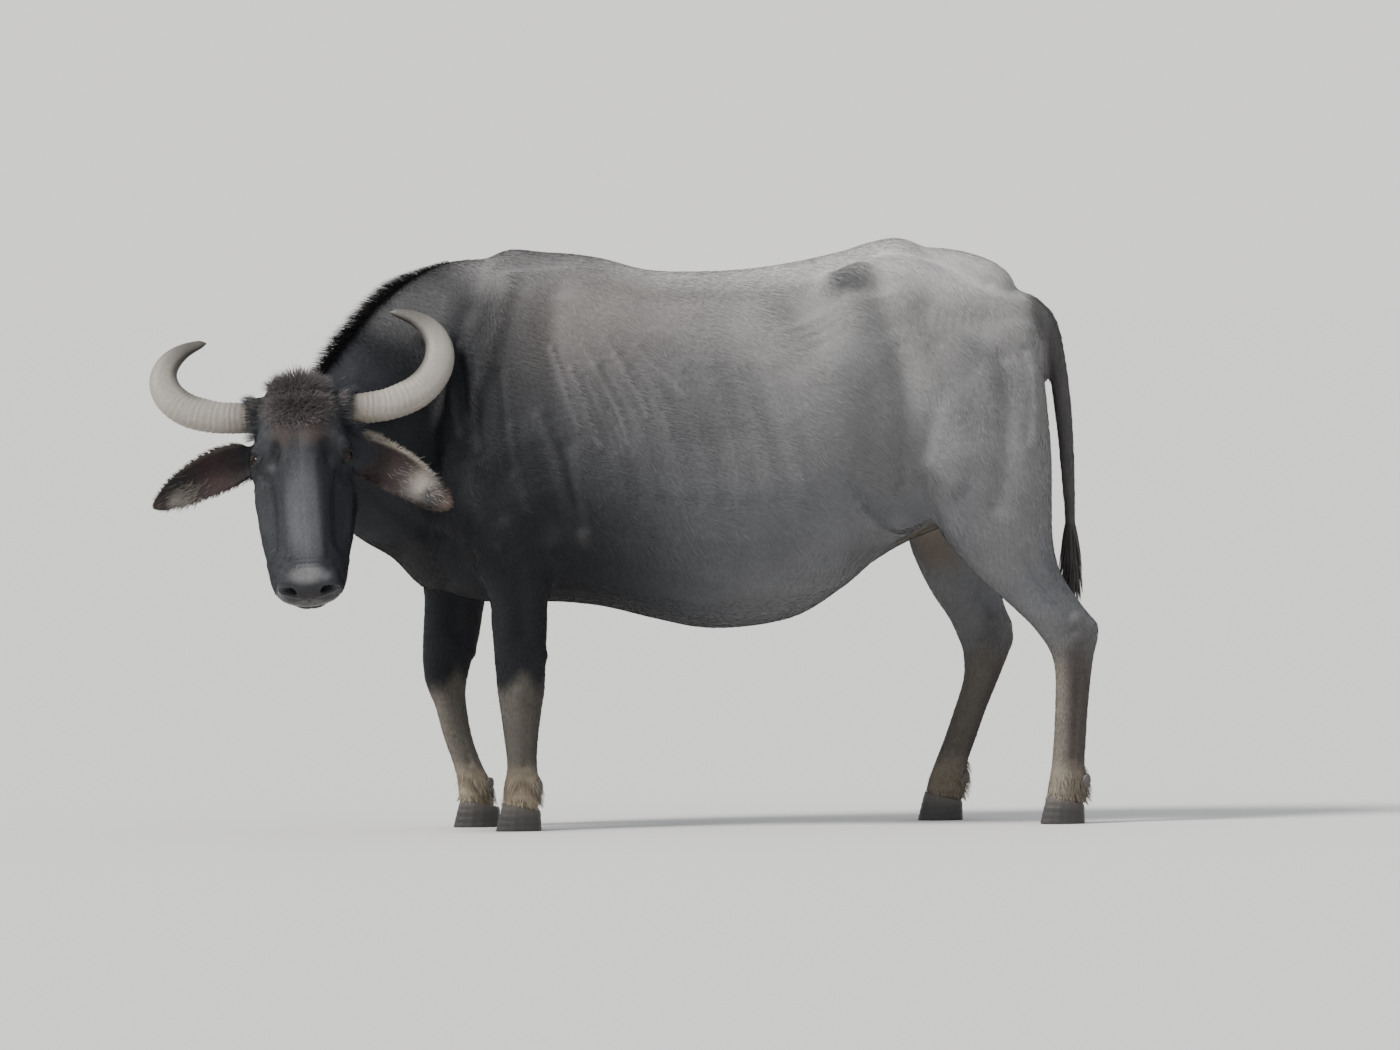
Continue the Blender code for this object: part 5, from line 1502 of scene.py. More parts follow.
@dataclass(frozen=True)
class HairKind:
    """One kind of tuft: how many there are, their size and how they lie."""

    name: str
    count: int
    length: tuple[float, float]
    width: float
    lift: float = 0.45
    droop: float = 0.55
    spread: float = 0.22
    light: float = 1.0
    segments: int = 1
    lean: float = 0.18
    buried: float = 0.02


class Blade:
    """The one blade that all tufts of a kind are copied from."""

    def __init__(self, segments: int) -> None:
        """Builds a three-sided blade with this many segments to its tip."""
        work = bmesh.new()
        up = Matrix.Translation((0.0, 0.0, 0.5))
        bmesh.ops.create_cone(
            work, cap_ends=True, segments=3, radius1=1.0, radius2=0.0, depth=1.0, matrix=up
        )
        for i in range(1, segments):
            geometry = work.verts[:] + work.edges[:] + work.faces[:]
            level = Vector((0.0, 0.0, i / segments))
            bmesh.ops.bisect_plane(work, geom=geometry, plane_co=level, plane_no=(0.0, 0.0, 1.0))
        bmesh.ops.triangulate(work, faces=work.faces[:])
        bmesh.ops.recalc_face_normals(work, faces=work.faces)
        work.verts.ensure_lookup_table()
        points = np.array([tuple(vert.co) for vert in work.verts])
        self.faces = np.array([[vert.index for vert in face.verts] for face in work.faces], np.int32)
        work.free()
        self.along = points[:, 2]
        first = points[np.argmin(self.along)]
        turn = -np.pi / 2 - math.atan2(first[1], first[0])
        flat = (points[:, 0] + 1j * points[:, 1]) * np.exp(1j * turn)
        taper = (1.0 - self.along) ** 0.55 / np.maximum(1.0 - self.along, 1e-6)
        self.across = np.where(self.along < 0.999, flat.real * taper, 0.0)
        self.depth = np.where(self.along < 0.999, flat.imag * taper, 0.0)


class Unwrap:
    """An unwrap of the skin's own shape, which says where on it a root lies."""

    faces: int = 14_000

    def __init__(self, skin: bpy.types.Object) -> None:
        """Unwraps a light copy of the skin."""
        copy = bpy.data.objects.new("unwrap", skin.data.copy())
        bpy.context.scene.collection.objects.link(copy)
        modifier = copy.modifiers.new("light", "DECIMATE")
        modifier.ratio = self.faces / len(skin.data.polygons)
        modifier.use_collapse_triangulate = True
        apply_modifiers(copy)
        bpy.ops.object.select_all(action="DESELECT")
        copy.select_set(True)
        bpy.context.view_layer.objects.active = copy
        bpy.ops.object.mode_set(mode="EDIT")
        bpy.ops.mesh.select_all(action="SELECT")
        bpy.ops.uv.smart_project(angle_limit=math.radians(66), island_margin=0.004)
        bpy.ops.object.mode_set(mode="OBJECT")
        mesh = copy.data
        corners = np.empty(len(mesh.loops), np.int32)
        mesh.loops.foreach_get("vertex_index", corners)
        flat = np.empty(len(mesh.vertices) * 3)
        mesh.vertices.foreach_get("co", flat)
        places = np.empty(len(mesh.loops) * 2)
        mesh.uv_layers.active.data.foreach_get("uv", places)
        self.corners = flat.reshape(-1, 3)[corners.reshape(-1, 3)]
        self.places = places.reshape(-1, 3, 2)
        work = bmesh.new()
        work.from_mesh(mesh)
        self.tree = BVHTree.FromBMesh(work)
        work.free()
        bpy.data.objects.remove(copy)

    def __call__(self, roots: np.ndarray) -> np.ndarray:
        """The place on the unwrap of each root, as rows of u and v."""
        found = [self.tree.find_nearest(Vector(root)) for root in roots]
        index = np.array([hit[2] for hit in found])
        spots = np.array([tuple(hit[0]) for hit in found])
        a, b, c = self.corners[index].transpose(1, 0, 2)
        ab, ac, ap = b - a, c - a, spots - a
        d00, d01, d11 = (ab * ab).sum(1), (ab * ac).sum(1), (ac * ac).sum(1)
        d20, d21 = (ap * ab).sum(1), (ap * ac).sum(1)
        whole = np.maximum(d00 * d11 - d01 * d01, 1e-18)
        second = np.clip((d11 * d20 - d01 * d21) / whole, 0.0, 1.0)
        third = np.clip((d00 * d21 - d01 * d20) / whole, 0.0, 1.0)
        shares = np.column_stack([1.0 - second - third, second, third])
        return (self.places[index] * shares[:, :, None]).sum(axis=1)


@dataclass
class Roots:
    """Places where tufts grow: their points, the skin's normals there and the way they lie."""

    points: np.ndarray
    normals: np.ndarray
    ways: np.ndarray
    scale: np.ndarray
    tones: np.ndarray | None = None

    def __len__(self) -> int:
        """How many there are."""
        return len(self.points)

    def keep(self, chosen: np.ndarray) -> "Roots":
        """Only the chosen ones."""
        return Roots(self.points[chosen], self.normals[chosen], self.ways[chosen], self.scale[chosen])


class Coat:
    """The hair of the animal, as thin solid blades over the skin."""

    patch: float = 0.003
    kinds: dict[str, HairKind] = {
        "trunk": HairKind("trunk", 162_000, (0.015, 0.025), 0.0034, 0.085, 0.0, 0.16),
        "leg": HairKind("leg", 46_000, (0.009, 0.015), 0.0026, 0.11, 0.0, 0.16),
        "head": HairKind("head", 72_000, (0.006, 0.011), 0.0019, 0.12, 0.0, 0.20),
        "ear": HairKind("ear", 14_000, (0.006, 0.011), 0.0016, 0.20, 0.0, 0.30),
    }

    def __init__(self, flesh: Flesh, markings: Markings) -> None:
        """Reads the skin that the coat grows on."""
        self.flesh = flesh
        self.markings = markings
        self.random = np.random.default_rng(47)
        self.unwrap = Unwrap(flesh.skin)
        self.tree = flesh.tree()
        self.blades: dict[int, Blade] = {}
        self.pieces: list[bpy.types.Object] = []
        mesh = flesh.skin.data
        corners = np.empty(len(mesh.loops), np.int32)
        mesh.loops.foreach_get("vertex_index", corners)
        self.faces = corners.reshape(-1, 3)

    def zones(self, points: np.ndarray) -> dict[str, np.ndarray]:
        """How densely each kind of tuft grows at each point."""
        raw = points - SHIFT
        local = AXES.local(points)
        ahead = AXES.ahead(points)
        ear = self.flesh.ear_part(points)
        head = fade(ahead, -0.02, 0.0) * (1.0 - ear) * (raw[:, 2] > 0.5)
        rest = (1.0 - head) * (1.0 - ear)
        leg = (1.0 - fade(raw[:, 2], 0.56, 0.70)) * (raw[:, 0] < 0.84 + 0.14 * (raw[:, 2] < 0.55))
        foot = 1.0 - fade(raw[:, 2], 0.10, 0.24)
        bare = self.bare(local)
        belly = 0.45 + 0.55 * fade(raw[:, 2], 0.55, 0.75)
        above = 1.0 + 0.5 * fade(raw[:, 2], 1.15, 1.35)
        return {
            "trunk": rest * (1.0 - leg) * belly * above,
            "leg": rest * leg * (1.0 + 0.8 * foot) * (raw[:, 2] > 0.062),
            "head": head * (1.0 - bare) * (1.0 + 0.8 * (1.0 - fade(local[:, 0], 0.10, 0.20))),
            "ear": ear,
        }

    def bare(self, local: np.ndarray) -> np.ndarray:
        """How bare the face is at each point: lids, nostrils, nose pad and lips."""
        u, v, w = local.T
        nose = fade(u, 0.485, 0.515) * fade(w, -0.125, -0.105)
        spots = np.column_stack([u - EYE.u, np.abs(v) - EYE.v, w - EYE.w])
        lids = 1.0 - fade(np.linalg.norm(spots, axis=1), 0.026, 0.036)
        mouth = np.zeros(len(local))
        for spot in smooth_rows(MOUTH_LINE, 6):
            offset = np.column_stack([u - spot[0], np.abs(v) - spot[1], w - spot[2]])
            mouth = np.maximum(mouth, 1.0 - fade(np.linalg.norm(offset, axis=1), 0.006, 0.012))
        return np.clip(nose + lids + mouth, 0.0, 1.0)

    def flow(self, points: np.ndarray, normals: np.ndarray) -> np.ndarray:
        """The way that hair lies at each point, along the skin."""
        raw = points - SHIFT
        x, y, z = raw.T
        side = np.sign(y + 1e-6)
        ahead = AXES.ahead(points)
        trunk = np.column_stack([np.full(len(x), 0.85), 0.25 * side, -0.55 - 0.3 * fade(z, 1.0, 1.3)])
        croup = np.column_stack([np.full(len(x), 0.55), 0.45 * side, np.full(len(x), -0.85)])
        neck = np.column_stack([np.full(len(x), 0.55), 0.2 * side, np.full(len(x), -0.85)])
        way = trunk + fade(x, 0.35, 0.65)[:, None] * (croup - trunk)
        way = way + (1.0 - fade(x, -0.62, -0.40))[:, None] * (neck - way)
        down = np.zeros_like(way)
        down[:, 2] = -1.0
        low = (1.0 - fade(z, 0.58, 0.78))[:, None] * (np.abs(normals[:, 2]) < 0.8)[:, None]
        way = way + np.maximum(low, fade(x, 0.83, 0.86)[:, None]) * (down - way)
        local = AXES.local(points)
        turn = np.array(AXES.turn)
        spread = np.column_stack([np.full(len(x), 0.92), 0.42 * np.sign(local[:, 1]), -0.32 - 0 * x])
        on_head = fade(ahead, -0.02, 0.02)[:, None] * (z > 0.5)[:, None]
        way = way + on_head * (spread @ turn.T - way)
        ear_share = self.flesh.ear_part(points)[:, None]
        for ear in EARS:
            mine = ear_share * (ear.side.value * local[:, 1] > 0)[:, None]
            way = way + mine * (np.array(ear.frame()[1]) - way)
        wave = np.sin(31 * points[:, :1] + 17 * points[:, 2:]) + np.sin(53 * points[:, 1:2] - 41 * points[:, 2:])
        way = way + 0.14 * wave * np.cross(normals, way)
        way -= normals * (way * normals).sum(axis=1)[:, None]
        return unit(way)

    def scatter(self, kind: HairKind, density: np.ndarray) -> Roots:
        """Draws roots over the skin, more where the density is higher."""
        surface = self.flesh.surface
        corners = surface.points[self.faces]
        area = np.linalg.norm(np.cross(corners[:, 1] - corners[:, 0], corners[:, 2] - corners[:, 0]), axis=1)
        weight = area * density[self.faces].mean(axis=1)
        count = kind.count
        totals = np.cumsum(weight)
        steps = (np.arange(count) + self.random.random(count)) / count * totals[-1]
        chosen = np.minimum(np.searchsorted(totals, steps), len(weight) - 1)
        first, second = self.random.random((2, count))
        flip = first + second > 1
        first[flip], second[flip] = 1 - first[flip], 1 - second[flip]
        shares = np.column_stack([1 - first - second, first, second])[:, :, None]
        points = (corners[chosen] * shares).sum(axis=1)
        normals = unit((surface.normals[self.faces[chosen]] * shares).sum(axis=1))
        return Roots(points, normals, self.flow(points, normals), np.ones(count))

    def grow(self, kind: HairKind, roots: Roots, name: str) -> None:
        """Builds the tufts of one kind, in pieces under the limit.

        Args:
            kind: Their size and lie.
            roots: Where they grow.
            name: The name of the piece, with a number added where it is split.
        """
        blade = self.blades.setdefault(kind.segments, Blade(kind.segments))
        count = len(roots)
        rolls = self.random.random((6, count))
        short, long = kind.length
        length = (short + (long - short) * rolls[0]) * roots.scale
        width = kind.width * (0.7 + 0.6 * rolls[1]) * np.sqrt(roots.scale)
        turn = kind.spread * (rolls[2] - 0.5) * 2
        beside = np.cross(roots.normals, roots.ways)
        ways = roots.ways * np.cos(turn)[:, None] + beside * np.sin(turn)[:, None]
        beside = np.cross(roots.normals, ways)
        lean = kind.lean * (2 * rolls[3] - 1)
        flat = beside * np.cos(lean)[:, None] + roots.normals * np.sin(lean)[:, None]
        thick = np.cross(ways, flat)
        lift = kind.lift * (0.6 + 0.8 * rolls[4])
        tone = roots.tones if roots.tones is not None else self.markings.tone(roots.points)
        tone = tone * (kind.light * (0.92 + 0.18 * rolls[5]))[:, None]
        t = blade.along[None, :, None]
        rise = np.sin(lift)[:, None, None] * (t - kind.droop * t**2) - kind.buried * (1 - t)
        spine = roots.points[:, None] + length[:, None, None] * (
            t * np.cos(lift * 0.5)[:, None, None] * ways[:, None] + rise * roots.normals[:, None]
        )
        body = flat[:, None] * blade.across[None, :, None] + thick[:, None] * blade.depth[None, :, None] * 0.35
        low, high = (np.array(corner) for corner in CAD_BOUNDS)
        points = np.clip(spine + 0.5 * width[:, None, None] * body, low + 0.0003, high - 0.0003)
        colours = tone[:, None] * (0.95 + 0.16 * t)
        places = self.unwrap(roots.points)[:, None] + self.patch * np.stack(
            [0.5 * blade.across, blade.along - 0.5], axis=1
        )[None]
        limit = COAT_PIECE_TRIANGLES // len(blade.faces)
        parts = math.ceil(count / limit)
        for i, chunk in enumerate(np.array_split(np.arange(count), parts)):
            label = name if parts == 1 else f"{name}_{i + 1}"
            self.pieces.append(self.join(label, blade, points[chunk], colours[chunk], places[chunk]))

    def join(self, name: str, blade: Blade, points: np.ndarray, colours: np.ndarray, places: np.ndarray) -> bpy.types.Object:
        """Makes one object of many blades.

        Args:
            name: Its name.
            blade: The blade that they are copies of.
            points: Points by tuft, by point of the blade, by axis.
            colours: Their colours, in the same order.
            places: Their places on the unwrap, in the same order.

        Returns:
            The object.
        """
        count, size = points.shape[:2]
        faces = (blade.faces[None] + (np.arange(count) * size)[:, None, None]).reshape(-1, 3)
        mesh = bpy.data.meshes.new(name)
        mesh.vertices.add(count * size)
        mesh.vertices.foreach_set("co", points.astype(np.float32).ravel())
        mesh.loops.add(faces.size)
        mesh.loops.foreach_set("vertex_index", faces.astype(np.int32).ravel())
        mesh.polygons.add(len(faces))
        mesh.polygons.foreach_set("loop_start", np.arange(0, faces.size, 3, dtype=np.int32))
        mesh.update(calc_edges=True)
        mesh.shade_flat()
        layer = mesh.uv_layers.new(name="OFBake")
        layer.data.foreach_set("uv", places.reshape(-1, 2)[faces.ravel()].astype(np.float32).ravel())
        thing = bpy.data.objects.new(name, mesh)
        bpy.context.scene.collection.objects.link(thing)
        paint(thing, "tone", colours.reshape(-1, 3))
        return thing

    def root_near(self, spots: np.ndarray, way: np.ndarray, scale: np.ndarray) -> Roots:
        """Roots on the skin nearest to given points."""
        found = [self.tree.find_nearest(Vector(spot)) for spot in spots]
        points = np.array([tuple(hit[0]) for hit in found])
        normals = np.array([tuple(hit[1]) for hit in found])
        return Roots(points, normals, unit(way), scale)

    def mane(self) -> None:
        """Grows the dark strip along the crest of the neck."""
        kind = HairKind("mane", 5400, (0.030, 0.054), 0.0022, 0.0, 0.0, 0.3, 1.0, 3)
        line = smooth_rows([row[:3] for row in NECK], 40) + SHIFT
        place = 0.20 + 0.80 * self.random.random(kind.count)
        centre = np.array([np.interp(place * (len(line) - 1), np.arange(len(line)), line[:, i]) for i in range(3)]).T
        tangent = unit(np.gradient(line, axis=0))[(place * (len(line) - 1)).astype(int)]
        side = unit(np.cross(tangent, np.array((0.0, 0.0, 1.0))))
        across = self.random.normal(0.0, 0.010, kind.count)
        spots = centre + side * across[:, None]
        up = np.cross(side, tangent)
        way = up * 0.85 + tangent * 0.75 + side * (across * 20 + self.random.normal(0, 0.15, kind.count))[:, None]
        scale = 0.25 + 0.75 * fade(place, 0.22, 0.50) * (1.0 - 0.4 * fade(place, 0.85, 1.0))
        roots = self.root_near(spots, way, scale)
        roots.tones = np.tile(np.array((0.030, 0.029, 0.030)), (kind.count, 1))
        self.grow(kind, roots, "mane")

    def poll(self) -> None:
        """Grows the brown mop between the horns."""
        kind = HairKind("poll", 5200, (0.022, 0.044), 0.0021, 0.40, 0.40, 0.5, 1.0, 3)
        along = self.random.beta(1.4, 2.2, kind.count)
        aside = self.random.normal(0.0, 0.50, kind.count)
        u = -0.05 + 0.17 * along
        v = np.clip(aside, -1.15, 1.15) * (0.108 - 0.25 * np.maximum(u - 0.02, 0))
        spots = np.array([tuple(AXES.point(a, b, 0.05)) for a, b in zip(u, v)])
        local = np.column_stack([6 * u - 0.15, 9 * v, np.full(kind.count, 0.34)])
        local += self.random.normal(0, 0.25, local.shape)
        scale = (1.0 - 4.5 * np.maximum(u - 0.03, 0.0)) * (1.0 - 0.25 * np.abs(aside))
        roots = self.root_near(spots, local @ np.array(AXES.turn).T, np.clip(scale, 0.3, 1.0))
        roots = roots.keep(np.abs(AXES.local(roots.points)[:, 1]) < 0.106)
        roots = roots.keep(np.abs(AXES.local(roots.points)[:, 0]) < 0.12)
        roots.tones = np.tile(np.array((0.112, 0.102, 0.100)), (len(roots), 1))
        self.grow(kind, roots, "poll_hair")

    def horn_bases(self) -> None:
        """Grows the tufts that lie out over the base of each horn."""
        kind = HairKind("horn_base", 900, (0.018, 0.036), 0.0018, 0.16, 0.30, 0.35, 1.0, 3)
        for side in Side:
            turn = self.random.random(kind.count) * 2 * np.pi
            ring = 0.046 + self.random.normal(0.0, 0.006, kind.count)
            out = side.value * (0.100 + 0.018 * self.random.random(kind.count))
            spots = [AXES.point(0.050 + r * math.cos(a), v, -0.048 + r * math.sin(a)) for r, a, v in zip(ring, turn, out)]
            local = np.column_stack([0.25 * np.cos(turn), np.full(kind.count, side.value), 0.25 * np.sin(turn)])
            local += self.random.normal(0.0, 0.14, local.shape)
            roots = self.root_near(np.array([tuple(spot) for spot in spots]), local @ np.array(AXES.turn).T, np.ones(kind.count))
            roots = roots.keep(np.abs(AXES.local(roots.points)[:, 0] - 0.050) < 0.09)
            roots.tones = self.markings.tone(roots.points) * 1.15
            self.grow(kind, roots, f"horn_base_{side.word}")

    def ear_hair(self) -> None:
        """Grows the fringe of each ear and the pale tufts inside it."""
        fringe = HairKind("fringe", 1200, (0.010, 0.021), 0.0013, 0.15, 0.3, 0.35, 1.0, 3)
        inner = HairKind("inner", 520, (0.014, 0.030), 0.0013, 0.35, 0.6, 0.35, 1.0, 3)
        for ear in EARS:
            _, axis, facing, across, _ = (np.array(part) for part in ear.frame())
            share = self.random.random(fringe.count) * 0.90 + 0.06
            edge = self.random.choice([-0.97, 0.97], fringe.count)
            spots = np.array([ear.place(a, b) for a, b in zip(share, edge)])
            way = axis * 0.8 + across * (edge * 0.7)[:, None] + facing * 0.25
            way += self.random.normal(0, 0.15, way.shape)
            roots = self.root_near(spots, way, np.clip(1.1 - share, 0.5, 1.0))
            roots.tones = self.markings.tone(roots.points) * (1.25 if ear.side is Side.LEFT else 0.75)
            self.grow(fringe, roots, f"ear_fringe_{ear.side.word}")
            middle, wide, low = (0.67, 0.10, 0.1) if ear.side is Side.LEFT else (0.70, 0.07, -0.35)
            share = np.clip(self.random.normal(middle, wide, inner.count), 0.12, 0.93)
            spread = self.random.normal(low, 0.34, inner.count) * math.copysign(1.0, ear.frame()[3].z)
            spots = np.array([ear.place(a, b, 0.02) for a, b in zip(share, spread)])
            way = axis * 0.9 + across * (0.5 * spread)[:, None] + self.random.normal(0, 0.2, (inner.count, 3))
            roots = self.root_near(spots, way, np.ones(inner.count))
            roots.tones = 0.5 * self.markings.tone(roots.points) + np.array((0.15, 0.135, 0.115))
            self.grow(inner, roots, f"ear_inside_{ear.side.word}")

    def feet(self) -> None:
        """Grows the longer hair behind the fetlocks and round the coronets."""
        kind = HairKind("fetlock", 420, (0.016, 0.030), 0.0022, 0.40, 0.55, 0.35, 1.1, 3)
        surface = self.flesh.surface
        for (outline, breadths, side), word in zip(LEGS, ("fore_left", "fore_right", "hind_left", "hind_right")):
            rear = min(outline, key=lambda row: abs(row[0] - 0.11))
            level = self.random.random(kind.count) * 0.075 + 0.066
            turn = self.random.normal(0.0, 1.0, kind.count)
            middle = (rear[1] + rear[2]) / 2
            centre = side * breadths[-2][1]
            spots = np.column_stack([middle + 0.07 * np.cos(turn), centre + 0.07 * np.sin(turn), level]) + SHIFT
            way = np.column_stack([0.35 * np.cos(turn), 0.35 * np.sin(turn), np.full(kind.count, -1.0)])
            roots = self.root_near(spots, way, np.ones(kind.count))
            self.grow(kind, roots, f"fetlock_{word}")
            coronet = HairKind("coronet", 420, (0.010, 0.018), 0.0018, 0.35, 0.5, 0.25, 1.15, 2)
            turn = self.random.random(coronet.count) * 2 * np.pi
            slope = 0.060 - 0.012 * np.cos(turn)
            spots = np.column_stack([middle + 0.07 * np.cos(turn), centre + 0.06 * np.sin(turn), slope]) + SHIFT
            way = np.column_stack([0.30 * np.cos(turn), 0.30 * np.sin(turn), np.full(coronet.count, -1.0)])
            self.grow(coronet, self.root_near(spots, way, np.ones(coronet.count)), f"coronet_{word}")

    def switch(self) -> bpy.types.Object:
        """Grows the tuft at the end of the tail.

        Returns:
            The piece, which stands for the CAD tuft.
        """
        kind = HairKind("switch", 900, (0.060, 0.120), 0.0040, 0.16, 0.5, 0.10, 1.0, 5)
        share = self.random.random(kind.count)
        level = 0.735 - 0.125 * share
        turn = self.random.random(kind.count) * 2 * np.pi
        spots = np.column_stack([0.9015 + 0.03 * np.cos(turn), 0.001 + 0.03 * np.sin(turn), level]) + SHIFT
        way = np.column_stack([0.05 * np.cos(turn), 0.05 * np.sin(turn), np.full(kind.count, -1.0)])
        scale = np.clip((level - 0.515) / 0.13, 0.35, 1.2)
        roots = self.root_near(spots, way, scale)
        roots.tones = np.tile(np.array((0.062, 0.056, 0.055)), (kind.count, 1))
        self.grow(kind, roots, "tail_switch")
        return self.pieces[-1]

    def build(self) -> list[bpy.types.Object]:
        """Builds every piece of the coat.

        Returns:
            The pieces.
        """
        zones = self.zones(self.flesh.surface.points)
        for name, kind in self.kinds.items():
            self.grow(kind, self.scatter(kind, zones[name]), f"coat_{name}")
        self.mane()
        self.poll()
        self.horn_bases()
        self.ear_hair()
        self.feet()
        return self.pieces


# Horn rows: v, rise above the poll, w, radius in the horn's plane and across it
HORN: Rows = (
    (0.086, 0.010, -0.048, 0.037, 0.032),
    (0.130, 0.013, -0.046, 0.038, 0.032),
    (0.170, 0.014, -0.043, 0.039, 0.031),
    (0.207, 0.017, -0.040, 0.040, 0.030),
    (0.245, 0.026, -0.036, 0.042, 0.030),
    (0.280, 0.040, -0.033, 0.042, 0.029),
    (0.310, 0.063, -0.030, 0.041, 0.028),
    (0.332, 0.095, -0.028, 0.039, 0.026),
    (0.340, 0.130, -0.026, 0.036, 0.024),
    (0.334, 0.163, -0.024, 0.031, 0.021),
    (0.315, 0.192, -0.022, 0.026, 0.018),
    (0.285, 0.215, -0.020, 0.019, 0.014),
    (0.250, 0.229, -0.019, 0.012, 0.009),
    (0.226, 0.234, -0.019, 0.006, 0.005),
)


@dataclass(frozen=True)
class Horn:
    """One horn, swept out and back up to its tip."""

    side: Side
    lift: float
    reach: float
    sides: int = 56
    steps: int = 14
    # Colours of its base, middle and tip
    tones: Rows = ((0.150, 0.130, 0.108), (0.300, 0.275, 0.240), (0.085, 0.076, 0.068))

    def build(self) -> bpy.types.Object:
        """Builds the horn with its growth rings and long cracks, with painted shade in the grooves of the rings and on
        its concave side.

        Returns:
            The horn, with its colour painted on.
        """
        rows = smooth_rows(HORN, self.steps)
        centres = np.array(
            [tuple(AXES.point(0.060 - rise * self.lift, self.side.value * self.reach * v, w)) for v, rise, w, _, _ in rows]
        )
        ahead = unit(np.gradient(centres, axis=0))
        flat = np.array(AXES.direction(0.0, 0.0, 1.0))
        radial = unit(np.cross(ahead, flat))
        flats = np.cross(radial, ahead)
        travel = np.concatenate([[0.0], np.cumsum(np.linalg.norm(np.diff(centres, axis=0), axis=1))])
        share = travel / travel[-1]
        angles = np.arange(self.sides) * 2 * np.pi / self.sides
        a = np.sign(np.cos(angles)) * np.abs(np.cos(angles)) ** 0.85
        b = np.sign(np.sin(angles)) * np.abs(np.sin(angles)) ** 0.85
        wave = travel[:, None] + 0.0035 * np.cos(angles + 0.6)[None] + 0.002 * np.sin(3 * angles)[None]
        strong = (1.0 - fade(share, 0.15, 0.80))[:, None]
        saw = (wave / 0.0135 + 0.25 * np.sin(wave / 0.041)) % 1.0
        ripple = 1.0 + strong * 0.045 * (saw**1.5 - 0.5) + 0.008 * np.sin(wave / 0.0017) * strong
        ripple = ripple + 0.008 * np.sin(9 * angles + 14 * share[:, None]) * (1 - share[:, None])
        ripple = ripple - 0.028
        ripple = ripple * np.sqrt(np.clip((1.0 - share[:, None]) / 0.03, 0.0004, 1.0))
        shape = radial[:, None] * (a * rows[:, 3, None])[:, :, None] + flats[:, None] * (b * rows[:, 4, None])[:, :, None]
        rings = centres[:, None] + ripple[:, :, None] * shape
        work = bmesh.new()
        loft(work, rings)
        thing = new_object(f"horn_cover_{self.side.word}", work)
        points = Surface(thing).points
        place = self.places(points, centres, share)
        base, middle, tip = (np.array(tone) for tone in self.tones)
        rise = fade(place, 0.04, 0.30)[:, None]
        fall = fade(place, 0.62, 0.93)[:, None]
        tone = base + rise * (middle - base)
        tone = tone + fall * (tip - tone)
        # The grooves between the growth rings near the base are painted darker, as painted shade
        groove = np.interp(place, share, saw.mean(axis=1))
        tone = tone * (1.0 - 0.30 * (1.0 - fade(groove, 0.0, 0.35)) * (1.0 - fade(place, 0.5, 0.8)))[:, None]
        # The concave side, from the middle of the horn to its tip, is painted darker, as painted shade
        hub = centres.mean(axis=0)
        index = np.searchsorted(share, place).clip(0, len(share) - 1)
        inward = unit(hub - centres[index])
        offset = unit(points - centres[index])
        inner = fade((inward * offset).sum(axis=1), 0.45, 0.95) * fade(place, 0.25, 0.5)
        tone = tone * (1.0 - 0.62 * inner)[:, None]
        paint(thing, "tone", tone)
        return thing

    def places(self, points: np.ndarray, centres: np.ndarray, share: np.ndarray) -> np.ndarray:
        """How far along the horn each point lies, as a share."""
        nearest = np.empty(len(points), np.int32)
        for chunk in np.array_split(np.arange(len(points)), 40):
            distance = ((points[chunk, None] - centres[None]) ** 2).sum(axis=2)
            nearest[chunk] = np.argmin(distance, axis=1)
        return share[nearest]


class Eye:
    """One eyeball, with its cornea, iris and pupil."""

    def __init__(self, side: Side) -> None:
        """Keeps the side it is on."""
        self.side = side

    def build(self) -> bpy.types.Object:
        """Builds the ball and paints it."""
        out, along, rise = EYE.look(self.side)
        turn = Matrix((along, rise, out)).transposed()
        centre = EYE.centre(self.side)
        work = bmesh.new()
        bmesh.ops.create_uvsphere(work, u_segments=64, v_segments=48, radius=EYE.radius - 0.0009)
        for vert in work.verts:
            angle = vert.co.angle(Vector((0.0, 0.0, 1.0)))
            bulge = 0.0005 * max(0.0, math.cos(min(angle / math.radians(34), 1.0) * math.pi / 2))
            vert.co *= 1.0 + bulge / vert.co.length
        flat = np.array([tuple(vert.co) for vert in work.verts])
        bmesh.ops.transform(work, verts=work.verts, matrix=Matrix.Translation(centre) @ turn.to_4x4())
        thing = new_object(f"eyeball_{self.side.word}", work)
        white, iris, pupil = np.array((0.030, 0.022, 0.020)), np.array((0.022, 0.012, 0.008)), np.array((0.002, 0.002, 0.002))
        radius = np.hypot(flat[:, 0], flat[:, 1])
        front = flat[:, 2] > 0
        in_iris = (1.0 - fade(radius, 0.0112, 0.0122)) * front
        in_pupil = (1.0 - fade(np.hypot(flat[:, 0] / 1.45, flat[:, 1]), 0.0036, 0.0044)) * front
        tone = white + in_iris[:, None] * (iris - white)
        tone = tone + in_pupil[:, None] * (pupil - tone)
        paint(thing, "tone", tone)
        return thing


